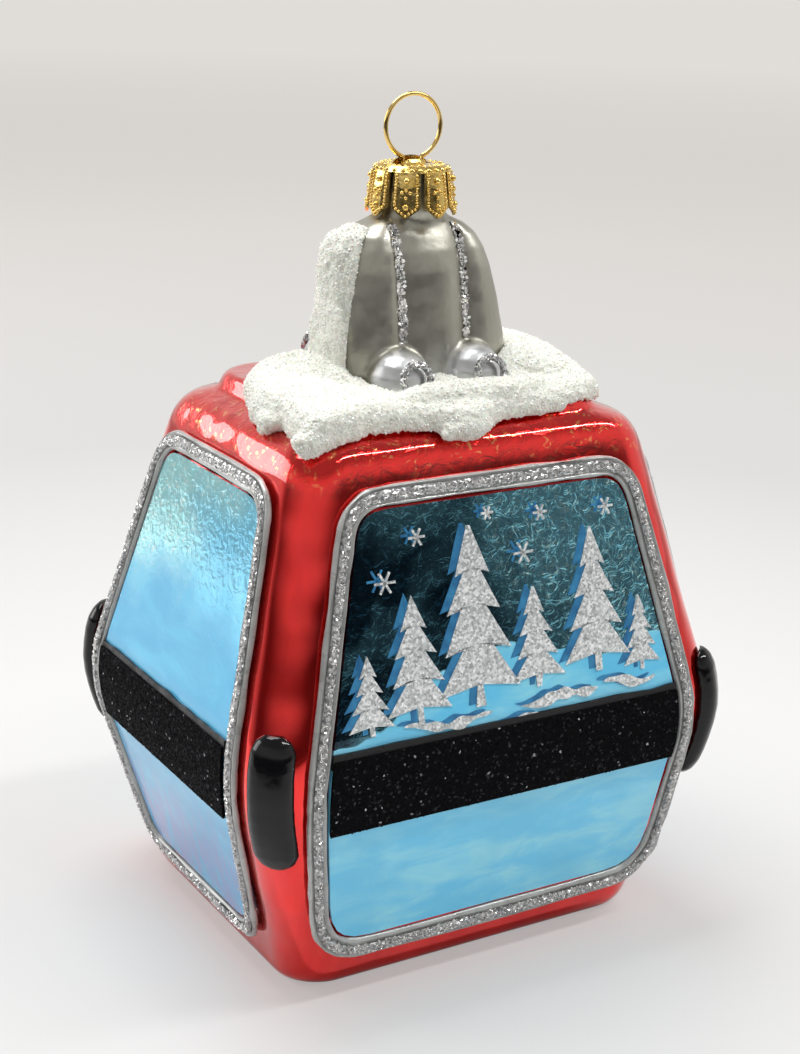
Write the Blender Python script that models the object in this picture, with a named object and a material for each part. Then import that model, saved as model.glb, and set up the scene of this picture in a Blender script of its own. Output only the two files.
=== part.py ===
"""A blown-glass tree ornament shaped like a gondola cabin, with a crown cap and a wire ring.

Metres, +Z up, standing on its flat floor at the origin. The front window faces -Y.
The glass is one blown piece on the real ornament. Here its coats and reliefs are pieces of their own,
each resting on the glass at the seat gap.
"""

import math

import bmesh
import bpy
from mathutils import Matrix, Vector

# Cabin, outside sizes of the glass where its faces would meet in sharp edges
WAIST_WIDTH = 0.0720
WAIST_DEPTH = 0.0588
WAIST_HEIGHT = 0.0314
ROOF_EDGE_HEIGHT = 0.0703
FLOOR_INSET = 0.0087
FLOOR_INSET_DEPTH = 0.0066
ROOF_INSET = 0.0099
ROOF_INSET_DEPTH = 0.0090
CORNER_RADIUS = 0.0058
FLOOR_BEND = 0.0028
WAIST_BEND = 0.0065
ROOF_BEND = 0.0040
FLOOR_RIM = 0.0060
WALL = 0.0010
SEAT = 0.00025

# Roof step, the raised block that carries the snow
STEP_HEIGHT = 0.0022
STEP_SETBACK = 0.0054
STEP_SETBACK_DEPTH = 0.0038
STEP_SLOPE = 0.0008
STEP_CREASE = 0.0007
STEP_BEND = 0.0011
SHOULDER_RISE = 0.0017
ROOF_HOLE_MARGIN = 0.0026

# Hanger block on the roof, with three flutes on the front and three on the back
BLOCK_WIDTH = 0.0248
BLOCK_DEPTH = 0.0126
BLOCK_HEIGHT = 0.0218
BLOCK_LEAN = 0.0008
FLUTE_DEPTH = 0.0016
MIDDLE_FLUTE = 0.0096
BOSS_SPREAD = 0.0056
BACK_BOSS_SPREAD = 0.0068
BOSS_WIDTH = 0.0086
BOSS_HEIGHT = 0.0044
BOSS_REACH = 0.0051
BOSS_BURIED = 0.0007
BOSS_FOOT = 0.0013
NECK_RADIUS = 0.0044
NECK_HEIGHT = 0.0060
NECK_ROOT = 0.0009

# Windows: margins from the edges of the panel to the frame, and the frame itself
WINDOW_TOP_MARGIN = 0.0032
FRAME_WIDTH = 0.0029
FRAME_HEIGHT = 0.0013
GROOVE_DEPTH = 0.00035
LINE_WIDTH = 0.0013
LINE_STANDS = 0.0002
PANE_THICKNESS = 0.0005
BAND_HEIGHT = 0.0096
BAND_DROP = 0.0010
BAND_THICKNESS = 0.0004

# Corner bumpers
BUMPER_HEIGHT = 0.0187
BUMPER_WIDTH = 0.0060
BUMPER_STANDS = 0.0020
BUMPER_DROP = 0.0014
BUMPER_BURIED = 0.0012

# Glitter on the hanger block
SEAM_RADIUS = 0.0006
CREASE_LIFT = 1.45
BOSS_RING_RADIUS = 0.0020
BOSS_RING_WIRE = 0.0005
BOSS_RING_TILT = math.radians(14)
BOSS_RING_STEPS = 16

# Snow
SNOW_DEPTH = 0.0048
BARE_BACK_START = 0.0013
SIDE_SNOW_THICKNESS = 0.0028

# Crown cap and wire ring
CAP_SHEET = 0.00035
CAP_CLEARANCE = 0.0003
CAP_FLARE = 0.0006
CAP_DROP = 0.0066
CAP_ROUNDING = 0.0007
PETALS = 8
PETAL_GAP = 0.0005
PETAL_POINT = 0.0015
PETAL_BULGE = 0.00025
CAP_TURN = math.radians(-38)
SLOT_LENGTH = 0.0052
HOOD_RISE = 0.0010
RING_DIAMETER = 0.0088
WIRE_DIAMETER = 0.0006
WIRE_CLEARANCE = 0.0003
LEG_SPREAD = 0.0028
LEG_LENGTH = 0.0125

MITRE_LIMIT = 0.5

SIDES = {
    # side: (across, outward, which half size the panel stands at, window's margins at its top, waist and
    # bottom, height of its bottom edge, bends of its outline at those three corners)
    "front": (Vector((1, 0, 0)), Vector((0, -1, 0)), "depth", (0.0048, 0.0049, 0.0032), 0.0058,
              (0.0062, 0.0055, 0.0085)),
    "back": (Vector((-1, 0, 0)), Vector((0, 1, 0)), "depth", (0.0048, 0.0049, 0.0032), 0.0058,
             (0.0062, 0.0055, 0.0085)),
    "left": (Vector((0, -1, 0)), Vector((-1, 0, 0)), "width", (0.0048, 0.0056, 0.0066), 0.0046,
             (0.0062, 0.0055, 0.0060)),
    "right": (Vector((0, 1, 0)), Vector((1, 0, 0)), "width", (0.0048, 0.0056, 0.0066), 0.0046,
              (0.0062, 0.0055, 0.0060)),
}

# colour, roughness, metallic
FINISHES = {
    "red_lacquer": ((0.72, 0.02, 0.025), 0.12, 0.6),
    "satin_silver": ((0.55, 0.55, 0.52), 0.38, 0.7),
    "blue_pane": ((0.16, 0.55, 0.78), 0.15, 0.4),
    "grey_rim": ((0.50, 0.51, 0.50), 0.35, 0.3),
    "silver_glitter": ((0.75, 0.75, 0.75), 0.35, 0.8),
    "black_glitter": ((0.015, 0.015, 0.017), 0.55, 0.2),
    "black_gloss": ((0.01, 0.01, 0.012), 0.08, 0.0),
    "snow_paste": ((0.86, 0.87, 0.84), 0.7, 0.0),
    "gold_sheet": ((0.85, 0.60, 0.20), 0.25, 1.0),
    "gold_wire": ((0.80, 0.55, 0.18), 0.2, 1.0),
}


def clear_scene():
    for obj in list(bpy.data.objects):
        bpy.data.objects.remove(obj)


def make_finishes():
    made = {}
    for name, (colour, roughness, metallic) in FINISHES.items():
        material = bpy.data.materials.new(name)
        material.use_nodes = True
        shader = material.node_tree.nodes["Principled BSDF"]
        shader.inputs["Base Color"].default_value = (*colour, 1)
        shader.inputs["Roughness"].default_value = roughness
        shader.inputs["Metallic"].default_value = metallic
        made[name] = material
    return made


def mixed(a, b, share):
    return tuple(p + (q - p) * share for p, q in zip(a, b))


def softened(rows, reaches, steps=5):
    """The path through the rows with each inner one rounded off, starting its reach before and after it."""
    path = [tuple(rows[0])]
    for before, row, after, reach in zip(rows, rows[1:], rows[2:], reaches):
        start = mixed(row, before, min(0.5, reach / math.dist(row, before)))
        end = mixed(row, after, min(0.5, reach / math.dist(row, after)))
        for step in range(steps + 1):
            t = step / steps
            path.append(mixed(mixed(start, row, t), mixed(row, end, t), t))
    path.append(tuple(rows[-1]))
    return path


def offset_path(path, distance):
    """A 2D path moved sideways, to the left of its own direction, with its corners mitred."""
    normals = []
    for (ax, ay), (bx, by) in zip(path, path[1:]):
        length = math.dist((ax, ay), (bx, by))
        normals.append(Vector(((ay - by) / length, (bx - ax) / length)))
    moved = []
    for index, point in enumerate(path):
        first = normals[max(index - 1, 0)]
        second = normals[min(index, len(normals) - 1)]
        bisector = (first + second).normalized()
        moved.append(Vector(point) + bisector * distance / max(bisector.dot(first), MITRE_LIMIT))
    return moved


def add_mesh(name, mesh, finish, cutter=False):
    obj = bpy.data.objects.new(name, mesh)
    bpy.context.scene.collection.objects.link(obj)
    if cutter:
        obj.hide_render = True
        obj.display_type = "WIRE"
    else:
        mesh.materials.append(finishes[finish])
        mesh.shade_smooth()
        mesh.set_sharp_from_angle(angle=math.radians(40))
    return obj


def loft(name, rings, finish, ends=True, cutter=False):
    """A skin through rings of points. Its ends are closed by faces, or else the last ring joins the first."""
    bm = bmesh.new()
    loops = [[bm.verts.new(point) for point in ring] for ring in rings]
    pairs = list(zip(loops, loops[1:]))
    if not ends:
        pairs.append((loops[-1], loops[0]))
    for lower, upper in pairs:
        count = len(lower)
        for i in range(count):
            j = (i + 1) % count
            bm.faces.new((lower[i], lower[j], upper[j], upper[i]))
    if ends:
        bm.faces.new(list(reversed(loops[0])))
        bm.faces.new(loops[-1])
    bmesh.ops.recalc_face_normals(bm, faces=bm.faces)
    mesh = bpy.data.meshes.new(name)
    bm.to_mesh(mesh)
    bm.free()
    return add_mesh(name, mesh, finish, cutter)


def use_boolean(obj, other, operation):
    modifier = obj.modifiers.new(operation.title(), "BOOLEAN")
    modifier.operation = operation
    modifier.solver = "EXACT"
    modifier.object = other
    return modifier


def cut_below(bm, height):
    """Keeps what is above a level and closes it there with flat faces."""
    everything = bm.verts[:] + bm.edges[:] + bm.faces[:]
    bmesh.ops.bisect_plane(bm, geom=everything, plane_co=(0, 0, height), plane_no=(0, 0, 1), clear_inner=True)
    rims = [edge for edge in bm.edges if edge.is_boundary]
    bmesh.ops.edgeloop_fill(bm, edges=rims)
    bmesh.ops.recalc_face_normals(bm, faces=bm.faces)


def rounded_rectangle(half_width, half_depth, corner, height, steps=5):
    """Points anticlockwise from above, starting at the front right corner."""
    corner = min(corner, half_width * 0.95, half_depth * 0.95)
    points = []
    for quarter, (sx, sy) in enumerate(((1, -1), (1, 1), (-1, 1), (-1, -1))):
        start = math.pi / 2 * (quarter - 1)
        for step in range(steps + 1):
            angle = start + math.pi / 2 * step / steps
            x = sx * (half_width - corner) + corner * math.cos(angle)
            y = sy * (half_depth - corner) + corner * math.sin(angle)
            points.append(Vector((x, y, height)))
    return points


def box_cutter(name, size, centre):
    bm = bmesh.new()
    bmesh.ops.create_cube(bm, size=1, matrix=Matrix.Translation(centre) @ Matrix.Diagonal((*size, 1)))
    mesh = bpy.data.meshes.new(name)
    bm.to_mesh(mesh)
    bm.free()
    return add_mesh(name, mesh, None, cutter=True)


# Cabin glass

def roof_top():
    return ROOF_EDGE_HEIGHT + SHOULDER_RISE + STEP_HEIGHT


def step_half_sizes():
    """Half the width and half the depth of the roof step's top."""
    half_width = WAIST_WIDTH / 2 - ROOF_INSET - STEP_SETBACK
    half_depth = WAIST_DEPTH / 2 - ROOF_INSET_DEPTH - STEP_SETBACK_DEPTH
    return half_width, half_depth


def cabin_path(grow=0.0, bend_steps=4):
    """Softened rows of the cabin from its floor up: height, half width, half depth and corner radius.

    grow moves the whole skin outwards, or inwards where it is negative.
    """
    half_width = WAIST_WIDTH / 2
    half_depth = WAIST_DEPTH / 2
    floor = (half_width - FLOOR_INSET, half_depth - FLOOR_INSET_DEPTH)
    roof = (half_width - ROOF_INSET, half_depth - ROOF_INSET_DEPTH)
    step = step_half_sizes()
    foot = (step[0] + STEP_SLOPE, step[1] + STEP_SLOPE)
    step_foot = ROOF_EDGE_HEIGHT + SHOULDER_RISE
    hole = (BLOCK_WIDTH / 2 - ROOF_HOLE_MARGIN, BLOCK_DEPTH / 2 - ROOF_HOLE_MARGIN / 2)
    rows = [
        # height, half width, half depth, how far growing lifts the row, bend
        (0.0, floor[0] - FLOOR_RIM, floor[1] - FLOOR_RIM, -1, None),
        (0.0, floor[0], floor[1], -1, FLOOR_BEND),
        (WAIST_HEIGHT, half_width, half_depth, 0, WAIST_BEND),
        (ROOF_EDGE_HEIGHT, roof[0], roof[1], 0.7, ROOF_BEND),
        (step_foot, foot[0], foot[1], 0.8, STEP_CREASE),
        (step_foot + STEP_HEIGHT, step[0], step[1], 1, STEP_BEND),
    ]
    grown = []
    for height, width, depth, lifts, _ in rows:
        grown.append((height + grow * lifts, width + grow, depth + grow, CORNER_RADIUS + grow))
    grown.append((roof_top() + grow, hole[0], hole[1], hole[1]))
    return softened(grown, [row[-1] for row in rows[1:]], bend_steps)


def cabin_rings(grow=0.0, bend_steps=4):
    return [rounded_rectangle(w, d, c, z) for z, w, d, c in cabin_path(grow, bend_steps)]


def make_cabin():
    outside = cabin_rings()
    inside = cabin_rings(-WALL, bend_steps=2)
    return loft("cabin_glass", outside + inside[::-1], "red_lacquer")


def make_cabin_cutter():
    return loft("cabin_cutter", cabin_rings(SEAT), None, cutter=True)


# Hanger block, neck and bosses

FLUTE_STEPS = 7
SIDE_STEPS = 4
FRONT_STEPS = 3 * FLUTE_STEPS
FLUTE_FULLNESS = 2.4
CORNER_FALL = 0.32

# Where the creases and the corners of the block come round the neck, from straight ahead
CREASE_ANGLE = math.radians(68)
CORNER_ANGLE = math.radians(78)


def block_outline(half_width, half_depth, flute, roundness, lean, height, grow=0.0):
    """The block's fluted plan, turned into a circle of the neck's radius as roundness goes to 1."""
    crease = min(MIDDLE_FLUTE / 2, half_width * 0.9)
    edges = (-half_width, -crease, crease, half_width)
    depths = (half_depth * (1 - CORNER_FALL), half_depth, half_depth, half_depth * (1 - CORNER_FALL))
    angles = (-CORNER_ANGLE, -CREASE_ANGLE, CREASE_ANGLE, CORNER_ANGLE)
    plan = []
    for step in range(FRONT_STEPS):
        which, place = divmod(step, FLUTE_STEPS)
        share = place / FLUTE_STEPS
        x = edges[which] + (edges[which + 1] - edges[which]) * share
        out = depths[which] + (depths[which + 1] - depths[which]) * share
        bulge = flute * (1 - abs(2 * share - 1) ** FLUTE_FULLNESS)
        angle = angles[which] + (angles[which + 1] - angles[which]) * share
        plan.append((Vector((x, -out - bulge)), angle))
    for step in range(SIDE_STEPS):
        along = 2 * step / SIDE_STEPS - 1
        bulge = flute / 2 * (1 - along * along)
        angle = CORNER_ANGLE + (math.pi - 2 * CORNER_ANGLE) * step / SIDE_STEPS
        plan.append((Vector((half_width + bulge, depths[-1] * along)), angle))
    plan += [(-point, angle + math.pi) for point, angle in plan]
    points = []
    for point, angle in plan:
        away = point + point.normalized() * grow
        round_point = Vector((math.sin(angle), -math.cos(angle))) * (NECK_RADIUS + grow)
        place = away.lerp(round_point, roundness)
        points.append(Vector((place.x + lean, place.y, height)))
    return points


BLOCK_SECTIONS = [
    # share of the block's height, of its width, of its depth and of the flutes, and roundness
    (0.00, 1.00, 1.00, 1.00, 0.00),
    (0.25, 0.985, 0.97, 1.00, 0.00),
    (0.50, 0.91, 0.90, 1.00, 0.00),
    (0.70, 0.825, 0.81, 0.95, 0.00),
    (0.82, 0.75, 0.71, 0.85, 0.00),
    (0.90, 0.68, 0.60, 0.70, 0.03),
    (0.955, 0.60, 0.52, 0.50, 0.16),
    (1.00, 0.49, 0.46, 0.25, 0.64),
]


def block_sections():
    """height above the roof, share of the width, share of the depth, share of the flutes, roundness"""
    sections = [(max(share * BLOCK_HEIGHT, SEAT), *rest) for share, *rest in BLOCK_SECTIONS]
    _, width, depth, _, _ = sections[-1]
    for rise in (BLOCK_HEIGHT + NECK_ROOT, BLOCK_HEIGHT + NECK_HEIGHT):
        sections.append((rise, width, depth, 0.0, 1.0))
    return sections


def block_rings(grow=0.0, bottom=0.0, top=0.0):
    rings = []
    sections = block_sections()
    for index, (rise, width, depth, flute, roundness) in enumerate(sections):
        extra = bottom if index == 0 else top if index == len(sections) - 1 else 0.0
        height = roof_top() + rise + extra
        size = (BLOCK_WIDTH / 2 * width, BLOCK_DEPTH / 2 * depth, FLUTE_DEPTH * flute)
        lean = BLOCK_LEAN * max(1 - rise / BLOCK_HEIGHT, 0)
        rings.append(block_outline(*size, roundness, lean, height, grow))
    return rings


def boss_centre(sx, sy):
    spread = BOSS_SPREAD if sy < 0 else BACK_BOSS_SPREAD
    out = BLOCK_DEPTH / 2 + BOSS_BURIED
    return Vector((sx * spread, sy * out, roof_top() + SEAT + BOSS_FOOT))


def dome(name, grow=0.0, forward=0.0):
    """The four bosses as closed half domes, cut flat where they stand on the roof."""
    bm = bmesh.new()
    for sx in (-1, 1):
        for sy in (-1, 1):
            size = (BOSS_WIDTH / 2 + grow, BOSS_REACH + grow + forward, BOSS_HEIGHT + grow)
            matrix = Matrix.Translation(boss_centre(sx, sy)) @ Matrix.Diagonal((*size, 1))
            bmesh.ops.create_uvsphere(bm, u_segments=18, v_segments=10, radius=1, matrix=matrix)
    cut_below(bm, roof_top() + SEAT if grow == 0 else roof_top() - grow)
    mesh = bpy.data.meshes.new(name)
    bm.to_mesh(mesh)
    bm.free()
    return add_mesh(name, mesh, None, cutter=True)


def make_block():
    block = loft("hanger_block", block_rings(), "satin_silver")
    use_boolean(block, dome("boss_domes"), "UNION")
    hollow = loft("block_hollow", block_rings(-WALL, bottom=-WALL, top=WALL), None, cutter=True)
    use_boolean(block, hollow, "DIFFERENCE")
    return block


# Windows

class Panel:
    """One side of the cabin, with points on it given across, up along its skin, and off its surface."""

    def __init__(self, side):
        self.across, self.outward, which, self.margins, self.bottom, self.bends = SIDES[side]
        column = 2 if which == "depth" else 1
        other = 1 if which == "depth" else 2
        rows = [row for row in cabin_path() if self.bottom / 2 < row[0] < ROOF_EDGE_HEIGHT - ROOF_BEND / 4]
        self.path = [(row[column], row[0]) for row in rows]
        self.half_span = [(row[0], row[other]) for row in rows]
        self.lengths = [0.0]
        for a, b in zip(self.path, self.path[1:]):
            self.lengths.append(self.lengths[-1] + math.dist(a, b))

    def along(self, height):
        """The length up the skin at which it reaches a height."""
        for (_, low), (_, high), start, end in zip(
            self.path, self.path[1:], self.lengths, self.lengths[1:]
        ):
            if height <= high:
                return start + (end - start) * (height - low) / (high - low)
        return self.lengths[-1]

    def span(self, height):
        """Half the panel's width at a height, to the sharp edge of the cabin."""
        for (low, a), (high, b) in zip(self.half_span, self.half_span[1:]):
            if height <= high:
                return a + (b - a) * (height - low) / (high - low)
        return self.half_span[-1][1]

    def point(self, across, along, lift):
        """lift is measured off the skin. The skin's left side, going up, is outwards when mirrored."""
        off = offset_path(self.path, -lift)
        for a, b, start, end in zip(off, off[1:], self.lengths, self.lengths[1:]):
            if along <= end or end == self.lengths[-1]:
                out, height = a.lerp(b, (along - start) / (end - start))
                break
        place = self.across * across + self.outward * out
        return Vector((place.x, place.y, height))

    def outline(self, inset):
        """Half of the window's outline, from the middle of its top round its right side to its bottom."""
        heights = (ROOF_EDGE_HEIGHT - WINDOW_TOP_MARGIN, WAIST_HEIGHT, self.bottom)
        corners = [(self.span(h) - m, self.along(h)) for h, m in zip(heights, self.margins)]
        rows = [(0.0, corners[0][1]), *corners, (0.0, corners[-1][1])]
        path = softened(rows, self.bends, 5)
        return [Vector(point) for point in offset_path(path, -inset)]

    def ring(self, inset, lift):
        """The whole outline as points in space."""
        half = self.outline(inset)
        points = [self.point(x, y, lift) for x, y in half]
        return points + [self.point(-x, y, lift) for x, y in half[-2:0:-1]]

    def pane_rows(self, inset, bottom=None, top=None):
        """Half widths of the window at each level, between two levels where they are given."""
        half = self.outline(inset)
        levels = sorted({round(y, 6) for _, y in half} | set(self.lengths))
        low = half[-1][1] if bottom is None else bottom
        high = half[0][1] if top is None else top
        levels = [low] + [y for y in levels if low + 1e-4 < y < high - 1e-4] + [high]
        return [(self.half_at(half, y), y) for y in levels]

    @staticmethod
    def half_at(half, level):
        for (ax, ay), (bx, by) in zip(half[1:-1], half[2:-1]):
            if by <= level <= ay and ay > by:
                return ax + (bx - ax) * (ay - level) / (ay - by)
        return half[1][0] if level > half[1][1] - 1e-4 else half[-2][0]


def make_sheet(name, panel, rows, lift, thickness, finish):
    """A sheet that follows the panel, from rows of half width and level."""
    rings = []
    for half, level in rows:
        rings.append(
            [
                panel.point(-half, level, lift),
                panel.point(half, level, lift),
                panel.point(half, level, lift + thickness),
                panel.point(-half, level, lift + thickness),
            ]
        )
    return loft(name, rings, finish)


def frame_profile():
    """Inset and lift round the frame's section: two lips with a groove between them."""
    lip = (FRAME_WIDTH - LINE_WIDTH) / 2 - SEAT
    floor = FRAME_HEIGHT - GROOVE_DEPTH
    return [
        (0.0, SEAT),
        (0.25 * lip, 0.75 * FRAME_HEIGHT),
        (0.8 * lip, FRAME_HEIGHT),
        (lip, floor),
        (FRAME_WIDTH - lip, floor),
        (FRAME_WIDTH - 0.8 * lip, FRAME_HEIGHT),
        (FRAME_WIDTH - 0.25 * lip, 0.75 * FRAME_HEIGHT),
        (FRAME_WIDTH, SEAT),
    ]


def line_profile():
    start = (FRAME_WIDTH - LINE_WIDTH) / 2
    bottom = FRAME_HEIGHT - GROOVE_DEPTH + SEAT
    top = FRAME_HEIGHT + LINE_STANDS
    return [
        (start, bottom),
        (start + 0.25 * LINE_WIDTH, top),
        (start + 0.75 * LINE_WIDTH, top),
        (start + LINE_WIDTH, bottom),
    ]


def make_window(side):
    panel = Panel(side)
    for name, profile, finish in (
        ("window_frame", frame_profile(), "grey_rim"),
        ("frame_glitter", line_profile(), "silver_glitter"),
    ):
        rings = [panel.ring(inset, lift) for inset, lift in profile]
        loft(f"{name}_{side}", rings, finish, ends=False)
    inset = FRAME_WIDTH + SEAT
    make_sheet(f"pane_{side}", panel, panel.pane_rows(inset), SEAT, PANE_THICKNESS, "blue_pane")
    middle = panel.along(WAIST_HEIGHT) - BAND_DROP
    low, high = middle - BAND_HEIGHT / 2, middle + BAND_HEIGHT / 2
    rows = panel.pane_rows(inset, low, high)
    lift = 2 * SEAT + PANE_THICKNESS
    make_sheet(f"waist_band_{side}", panel, rows, lift, BAND_THICKNESS, "black_glitter")


# Corner bumpers

def corner_path(sx, sy):
    """Points up the middle of a rounded corner of the cabin, and the way that the corner faces."""
    facing = Vector((sx, sy, 0)).normalized()
    points = []
    for height, half_width, half_depth, radius in cabin_path():
        centre = Vector((sx * (half_width - radius), sy * (half_depth - radius), height))
        points.append(centre + facing * radius)
    return points, facing


def point_at_height(points, height):
    for low, high in zip(points, points[1:]):
        if low.z < height <= high.z:
            return low.lerp(high, (height - low.z) / (high.z - low.z))
    return points[-1].copy()


def make_bumper(name, sx, sy, cutter):
    """An upright pad with round ends and a domed face, which follows a corner of the cabin at its waist."""
    points, facing = corner_path(sx, sy)
    across = Vector((-facing.y, facing.x, 0))
    centre = WAIST_HEIGHT - BUMPER_DROP
    half_height = BUMPER_HEIGHT / 2
    half_width = BUMPER_WIDTH / 2
    levels = 13
    around = 18
    rings = []
    for level in range(1, levels):
        rise = -math.cos(math.pi * level / levels) * half_height
        past_straight = max(abs(rise) - (half_height - half_width), 0) / half_width
        pad = math.sqrt(1 - past_straight**2)
        skin = point_at_height(points, centre + rise)
        ring = []
        for step in range(around):
            angle = 2 * math.pi * step / around
            out = math.cos(angle)
            depth = BUMPER_STANDS * pad**0.7 if out > 0 else corner_sink(pad * half_width) + BUMPER_BURIED
            side = math.copysign(abs(math.sin(angle)) ** 0.8, math.sin(angle))
            ring.append(skin + facing * out * depth + across * side * half_width * pad)
        rings.append(ring)
    bumper = loft(name, rings, "black_gloss")
    use_boolean(bumper, cutter, "DIFFERENCE")


def corner_sink(half_width):
    """How far the rounded corner falls back, at a distance to either side of its middle."""
    return CORNER_RADIUS - math.sqrt(CORNER_RADIUS**2 - half_width**2)


# Glitter on the hanger block

def tube(name, points, radius, finish, cyclic=False, resolution=2):
    curve = bpy.data.curves.new(name, "CURVE")
    curve.dimensions = "3D"
    curve.bevel_depth = radius
    curve.bevel_resolution = resolution
    curve.use_fill_caps = True
    spline = curve.splines.new("POLY")
    spline.points.add(len(points) - 1)
    for target, point in zip(spline.points, points):
        target.co = (*point, 1)
    spline.use_cyclic_u = cyclic
    obj = bpy.data.objects.new(name, curve)
    bpy.context.scene.collection.objects.link(obj)
    curve.materials.append(finishes[finish])
    return obj


def make_seams():
    """Glitter lines up the creases between the flutes, from the bosses to the neck."""
    lift = (SEAM_RADIUS + SEAT) * CREASE_LIFT
    rings = block_rings()[:-2]
    half = len(rings[0]) // 2
    lowest = boss_centre(1, 1).z + BOSS_HEIGHT
    for face, turn in (("front", 0), ("back", half)):
        for place, index in (("a", FLUTE_STEPS), ("b", FRONT_STEPS - FLUTE_STEPS)):
            crease = sampled([ring[index + turn] for ring in rings], 18)
            path = []
            for before, point, after in zip(crease, crease[1:], crease[2:]):
                normal = (after - before).cross(Vector((1, 0, 0))).normalized()
                if normal.y * point.y < 0:
                    normal = -normal
                if point.z > lowest:
                    path.append(point + normal * lift)
            tube(f"seam_glitter_{face}_{place}", path, SEAM_RADIUS, "silver_glitter")


def sampled(route, count):
    """Points at even steps of a smooth curve through the route."""
    dense = []
    padded = [route[0] * 2 - route[1], *route, route[-1] * 2 - route[-2]]
    for a, b, c, d in zip(padded, padded[1:], padded[2:], padded[3:]):
        for step in range(12):
            t = step / 12
            dense.append(
                0.5 * (2 * b + (c - a) * t + (2 * a - 5 * b + 4 * c - d) * t**2 + (3 * b - a - 3 * c + d) * t**3)
            )
    dense.append(route[-1].copy())
    lengths = [0.0]
    for a, b in zip(dense, dense[1:]):
        lengths.append(lengths[-1] + (b - a).length)
    points = []
    index = 0
    for step in range(count):
        target = lengths[-1] * step / (count - 1)
        while index < len(dense) - 2 and lengths[index + 1] < target:
            index += 1
        share = (target - lengths[index]) / (lengths[index + 1] - lengths[index])
        points.append(dense[index].lerp(dense[index + 1], min(share, 1)))
    return points


def make_boss_rings():
    """A glitter ring round the tip of each boss."""
    for sy, face in ((-1, "front"), (1, "back")):
        for sx, place in ((-1, "left"), (1, "right")):
            centre = boss_centre(sx, sy)
            share = BOSS_RING_RADIUS / (BOSS_WIDTH / 2)
            reach = BOSS_REACH * math.sqrt(1 - share * share) + SEAT + BOSS_RING_WIRE * 1.15
            outward = Vector((0, sy * math.cos(BOSS_RING_TILT), math.sin(BOSS_RING_TILT)))
            upward = Vector((0, -outward.z * sy, outward.y * sy))
            middle = centre + outward * reach
            points = []
            for step in range(BOSS_RING_STEPS):
                angle = 2 * math.pi * step / BOSS_RING_STEPS
                across = Vector((BOSS_RING_RADIUS * math.cos(angle), 0, 0))
                points.append(middle + across + upward * BOSS_RING_RADIUS * math.sin(angle))
            name = f"boss_glitter_{face}_{place}"
            tube(name, points, BOSS_RING_WIRE, "silver_glitter", cyclic=True, resolution=1)


# Snow

SNOW_EDGE = [
    # shares of the roof step's half width and half depth, spill past it to the side and to the front,
    # height of the foot above the roof edge, and share of the snow's depth, from the front right corner
    (1.0, -0.95, 0.0000, 0.0000, 0.0018, 0.42),
    (0.76, -1.0, 0.0000, 0.0009, 0.0012, 0.34),
    (0.42, -1.0, 0.0000, 0.0016, 0.0009, 0.27),
    (0.16, -1.0, 0.0000, 0.0017, 0.0009, 0.25),
    (0.0, -1.0, 0.0000, 0.0034, 0.0000, 0.26),
    (-0.17, -1.0, 0.0000, 0.0037, -0.0003, 0.26),
    (-0.34, -1.0, 0.0000, 0.0020, 0.0007, 0.28),
    (-0.65, -1.0, 0.0000, 0.0012, 0.0009, 0.34),
    (-0.93, -1.0, 0.0004, 0.0018, 0.0003, 0.40),
    (-1.0, -1.0, 0.0036, 0.0022, -0.0010, 0.36),
    (-1.0, -0.80, 0.0038, 0.0000, -0.0003, 0.42),
    (-1.0, -0.54, 0.0026, 0.0000, 0.0006, 0.48),
    (-1.0, -0.30, 0.0042, 0.0000, -0.0004, 0.48),
    (-1.0, 0.0, 0.0028, 0.0000, 0.0006, 0.54),
    (-1.0, 0.30, 0.0008, 0.0000, 0.0012, 0.62),
    (-0.80, 0.51, 0.0000, 0.0000, 0.0037, 0.70),
    (-0.39, 0.60, 0.0000, 0.0000, 0.0037, 0.75),
    (0.19, 0.60, 0.0000, 0.0000, 0.0037, 0.83),
    (0.68, 0.63, 0.0000, 0.0000, 0.0037, 0.94),
    (0.97, 0.45, 0.0000, 0.0000, 0.0030, 0.98),
    (1.0, 0.0, 0.0007, 0.0000, 0.0026, 1.0),
    (1.0, -0.48, 0.0007, 0.0000, 0.0022, 0.88),
    (1.0, -0.75, 0.0004, 0.0000, 0.0019, 0.66),
]

# The snow's rounded edge, from its foot to its top: share of the way out and share of its height there
SNOW_PROFILE = [
    (0.955, 0.0),
    (0.99, 0.18),
    (1.0, 0.42),
    (0.985, 0.68),
    (0.94, 0.88),
    (0.85, 0.98),
    (0.50, 1.0),
    (0.20, 1.0),
]


def make_snow(cabin_cutter, block_cutter, dome_cutter):
    """A heap on the roof step, spilling over its front and left edges."""
    half_width, half_depth = step_half_sizes()
    centre = Vector((0.0, -half_depth / 4, 0.0))
    edge = []
    for x, y, side_spill, front_spill, foot, depth in SNOW_EDGE:
        across = x * half_width + math.copysign(side_spill, x)
        edge.append(Vector((across, y * half_depth - front_spill, foot, depth)))
    around = closed_samples(edge, 52)
    rings = []
    for out, up in SNOW_PROFILE:
        ring = []
        for point in around:
            place = centre.lerp(Vector((point.x, point.y, 0)), out)
            foot = ROOF_EDGE_HEIGHT + point.z
            top = roof_top() + SNOW_DEPTH * point.w
            place.z = foot + (top - foot) * up
            ring.append(place)
        rings.append(ring)
    snow = loft("roof_snow", rings, "snow_paste")
    bare = (2 * BACK_BOSS_SPREAD + BOSS_WIDTH, WAIST_DEPTH / 2, WAIST_HEIGHT)
    behind = box_cutter("bare_back", bare, (0, bare[1] / 2 + BARE_BACK_START, roof_top()))
    for cutter in (behind, cabin_cutter, block_cutter, dome_cutter):
        use_boolean(snow, cutter, "DIFFERENCE")


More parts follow.
